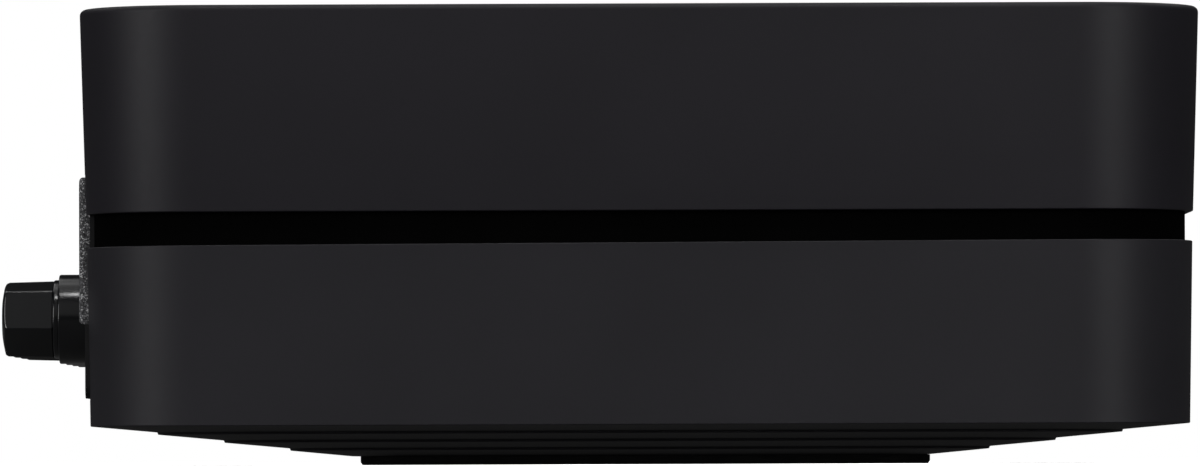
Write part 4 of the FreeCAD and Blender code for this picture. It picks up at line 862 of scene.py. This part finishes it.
def network_contacts():
    """Sprung contacts that slope down from the roof of the network socket's mouth."""
    low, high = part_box("lan_socket")
    below_mouth, mouth_rise = 0.36 * (high.z - low.z), 7.0 * MM
    roof = low.z + below_mouth + mouth_rise
    # of each bend: its depth behind the socket's face and its drop below the roof, in millimetres
    bends = ((13.6, 4.2), (5.0, 1.1), (3.2, 0.6), (2.2, 0.1))
    path = [(high.y - depth * MM, roof - drop * MM) for depth, drop in bends]
    contacts, pitch, width, thickness = 8, 1.02 * MM, 0.45 * MM, 0.22 * MM
    places = side_by_side((low.x + high.x) / 2, pitch, contacts)
    put_fine(bent_strips("network_contacts", path, width, thickness, places), "nickel", 0.04 * MM)


def jack_ring(node, level, forward=False):
    """Bright ring that lines the mouth of a jack for 3.5 mm plugs, on its rear end or its forward end."""
    low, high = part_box(node)
    deep, proud = 1.2 * MM, 0.12 * MM
    outer_edge, inner_edge = 0.4 * proud, 0.2 * proud
    outline = [(JACK_BORE, -deep), (JACK_RIM, -deep), (JACK_RIM, outer_edge), (JACK_RIM - proud, proud),
               (JACK_BORE + proud, proud), (JACK_BORE, inner_edge)]
    piece = turned(f"{node}_ring", outline, steps=48)
    if forward:
        piece.data.transform(Matrix.Rotation(math.radians(180), 4, "X"))
    facing_rear(piece, (low.x + high.x) / 2, low.y if forward else high.y, level)
    put_fine(piece, "nickel", 0.03 * MM)


def jack_rings():
    """The rings of the two jacks on the main board and of the headphone jack in the front wall."""
    for node in ("audio_in_jack", "infrared_in_jack"):
        jack_ring(node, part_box(node)[0].z + JACK_RISE)
    jack_ring("headphone_jack", PHONES_LEVEL, forward=True)


def phono_insulator():
    """Black insulator in the end of the subwoofer jack's sleeve, round its bore."""
    low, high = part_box("sub_out_jack")
    bore, radius, deep, proud = 1.66 * MM, 3.2 * MM, 0.5 * MM, 0.1 * MM
    funnel_width, funnel_depth = 0.24 * MM, 0.2 * MM
    outline = [(bore, -deep), (radius, -deep), (radius, proud / 2), (radius - proud, proud),
               (bore + funnel_width, proud), (bore, -funnel_depth)]
    disc = turned("phono_insulator", outline, steps=48)
    facing_rear(disc, (low.x + high.x) / 2, high.y, POST_LEVEL)
    put_fine(disc, "socket_plastic", 0.03 * MM)


def inlet_pins():
    """The two pins of the mains inlet, with domed tips."""
    low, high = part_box("inlet_pins")
    radius = (high.z - low.z) / 2
    length = high.y - low.y
    dome = [(radius * cosine, length - radius + radius * sine) for sine, cosine in quarter_turn(steps=6)[:-1]]
    outline = [(0, 0), (radius, 0), *dome, (0, length)]
    for number, x in enumerate((low.x + radius, high.x - radius), 1):
        pin = turned(f"inlet_pin_{number}", outline, steps=32)
        facing_rear(pin, x, low.y, low.z + radius)
        put_fine(pin, "nickel", 0.03 * MM, "inlet_pins")


def screw_recess(length):
    """The cutter of the six-lobed recess in the head of a screw of this length."""
    lobes, points = 6, 48
    radius, swing, depth = 1.02 * MM, 0.2 * MM, 0.9 * MM
    star = []
    for i in range(points):
        angle = math.tau * i / points
        reach = radius + swing * math.cos(lobes * angle)
        star.append((reach * math.cos(angle), reach * math.sin(angle)))
    return loft("recess", [at_height(star, length - depth), at_height(star, length + MM)])


def panel_screws():
    """Four black screws at the corners of the rear panel, with recesses in their heads."""
    low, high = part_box("panel_screws")
    length = high.y - low.y
    shank, head_height, chamfer = 1.25 * MM, 1.3 * MM, 0.25 * MM
    outline = [(0, 0), (shank, 0), (shank, length - head_height), (SCREW_HEAD, length - head_height),
               (SCREW_HEAD, length - chamfer), (SCREW_HEAD - chamfer, length), (0, length)]
    places = [(x, z) for x in (low.x + SCREW_HEAD, high.x - SCREW_HEAD)
              for z in (low.z + SCREW_HEAD, high.z - SCREW_HEAD)]
    for number, (x, z) in enumerate(places, 1):
        screw = turned(f"panel_screw_{number}", outline, steps=48)
        cut(screw, screw_recess(length))
        facing_rear(screw, x, low.y, z)
        put_fine(screw, "black_steel", 0.06 * MM, "panel_screws")


def touch_pane():
    """Touch glass with round corners and a polished bevel round its upper edge."""
    bevel = 0.25 * MM
    levels = ((0, GLASS_LOW.z), (0, GLASS_HIGH.z - bevel), (bevel, GLASS_HIGH.z))
    rings = [at_height(glass_outline(inset), height) for inset, height in levels]
    put_fine(loft("touch_pane", rings), "touch_glass", 0.05 * MM, "touch_window")


# stage, light and camera

def white_stage():
    """A plain pale floor that emits light: this makes it read white to the camera, fades close under the
    object as a painted shadow that follows ambient occlusion, and is faint in reflections."""
    mesh = bpy.data.meshes.new("floor")
    corners = [(x * FLOOR_REACH, y * FLOOR_REACH, 0) for x, y in ((-1, -1), (1, -1), (1, 1), (-1, 1))]
    mesh.from_pydata(corners, [], [(0, 1, 2, 3)])
    floor = new_object("floor", mesh)
    material = bpy.data.materials.new("floor")
    material.use_nodes = True
    mesh.materials.append(material)
    tree = material.node_tree
    shader = tree.nodes["Principled BSDF"]
    path = tree.nodes.new("ShaderNodeLightPath")
    seen = path.outputs["Is Camera Ray"]
    # painted shadow: the floor's emission seen by the camera is scaled by ambient occlusion, so it darkens
    # close under the object
    shade = tree.nodes.new("ShaderNodeAmbientOcclusion")
    shade.inputs["Distance"].default_value = SHADE_REACH
    glow_with_painted_shadow = calculate(tree, "MULTIPLY", shade.outputs["AO"], seen)
    strength = calculate(tree, "MULTIPLY_ADD", path.outputs["Is Glossy Ray"], REFLECTED_GLOW, glow_with_painted_shadow)
    grey = calculate(tree, "MULTIPLY_ADD", seen, FLOOR_SEEN - FLOOR_BOUNCE, FLOOR_BOUNCE)
    feed(tree, shader.inputs["Base Color"], grey)
    feed(tree, shader.inputs["Roughness"], 0.9)
    feed(tree, shader.inputs["Specular IOR Level"], 0.0)
    feed(tree, shader.inputs["Emission Color"], (FLOOR_GLOW, FLOOR_GLOW, FLOOR_GLOW, 1))
    feed(tree, shader.inputs["Emission Strength"], strength)


def white_world():
    """White to the camera and through glass, dim in reflections, grey for plain light."""
    world = bpy.data.worlds.new("studio")
    bpy.context.scene.world = world
    world.use_nodes = True
    tree = world.node_tree
    background = tree.nodes["Background"]
    background.inputs["Color"].default_value = (1, 1, 1, 1)
    path = tree.nodes.new("ShaderNodeLightPath")
    dimming = calculate(tree, "MULTIPLY", path.outputs["Is Glossy Ray"], GLOSSY_WORLD - PLAIN_WORLD)
    unseen = calculate(tree, "ADD", dimming, PLAIN_WORLD)
    seen = calculate(tree, "MAXIMUM", path.outputs["Is Camera Ray"], path.outputs["Is Transmission Ray"])
    feed(tree, background.inputs["Strength"], calculate(tree, "MAXIMUM", seen, unseen))


def softbox(name, azimuth, elevation, distance, size, power):
    """An area light aimed at the object. Azimuth 0 looks along +Y, 270 along +X."""
    light = bpy.data.lights.new(name, "AREA")
    light.shape = "RECTANGLE"
    light.size, light.size_y = size
    light.energy = power
    lamp = new_object(name, light)
    turn, rise = math.radians(azimuth), math.radians(elevation)
    back = Vector((math.sin(turn) * math.cos(rise), -math.cos(turn) * math.cos(rise), math.sin(rise)))
    aim = Vector((0, MIDDLE, TOP / 2))
    lamp.location = aim + back * distance
    lamp.rotation_mode = "QUATERNION"
    lamp.rotation_quaternion = (-back).to_track_quat("-Z", "Y")


def studio_light():
    """All lamps of the scene."""
    for name, values in SOFTBOXES.items():
        softbox(name, *values)


def camera():
    """A long lens near the floor, looking along +X and slightly up."""
    data = bpy.data.cameras.new("camera")
    data.sensor_width = SENSOR
    data.lens = SENSOR * FOCAL_PIXELS / PICTURE_WIDTH
    data.clip_start, data.clip_end = 0.1, 50
    made = new_object("camera", data)
    made.location = CAMERA_PLACE
    pitch, yaw, roll = (math.radians(angle) for angle in (CAMERA_PITCH, CAMERA_YAW, CAMERA_ROLL))
    towards = Vector((math.cos(pitch) * math.cos(yaw), math.cos(pitch) * math.sin(yaw), math.sin(pitch)))
    made.rotation_mode = "QUATERNION"
    made.rotation_quaternion = towards.to_track_quat("-Z", "Y") @ Quaternion((0, 0, 1), -roll)
    bpy.context.scene.camera = made


dress_nodes()
cover_shell()
base_shell()
terminals()
flat_socket("hdmi_socket", width_share=0.73, level_share=0.55, rise_share=0.17, contacts=10)
flat_socket("usb_socket", width_share=0.87, level_share=0.7, rise_share=0.25, contacts=4)
network_contacts()
jack_rings()
phono_insulator()
inlet_pins()
panel_screws()
touch_pane()
white_stage()
white_world()
studio_light()
camera()
bpy.context.scene.view_settings.view_transform = "Standard"
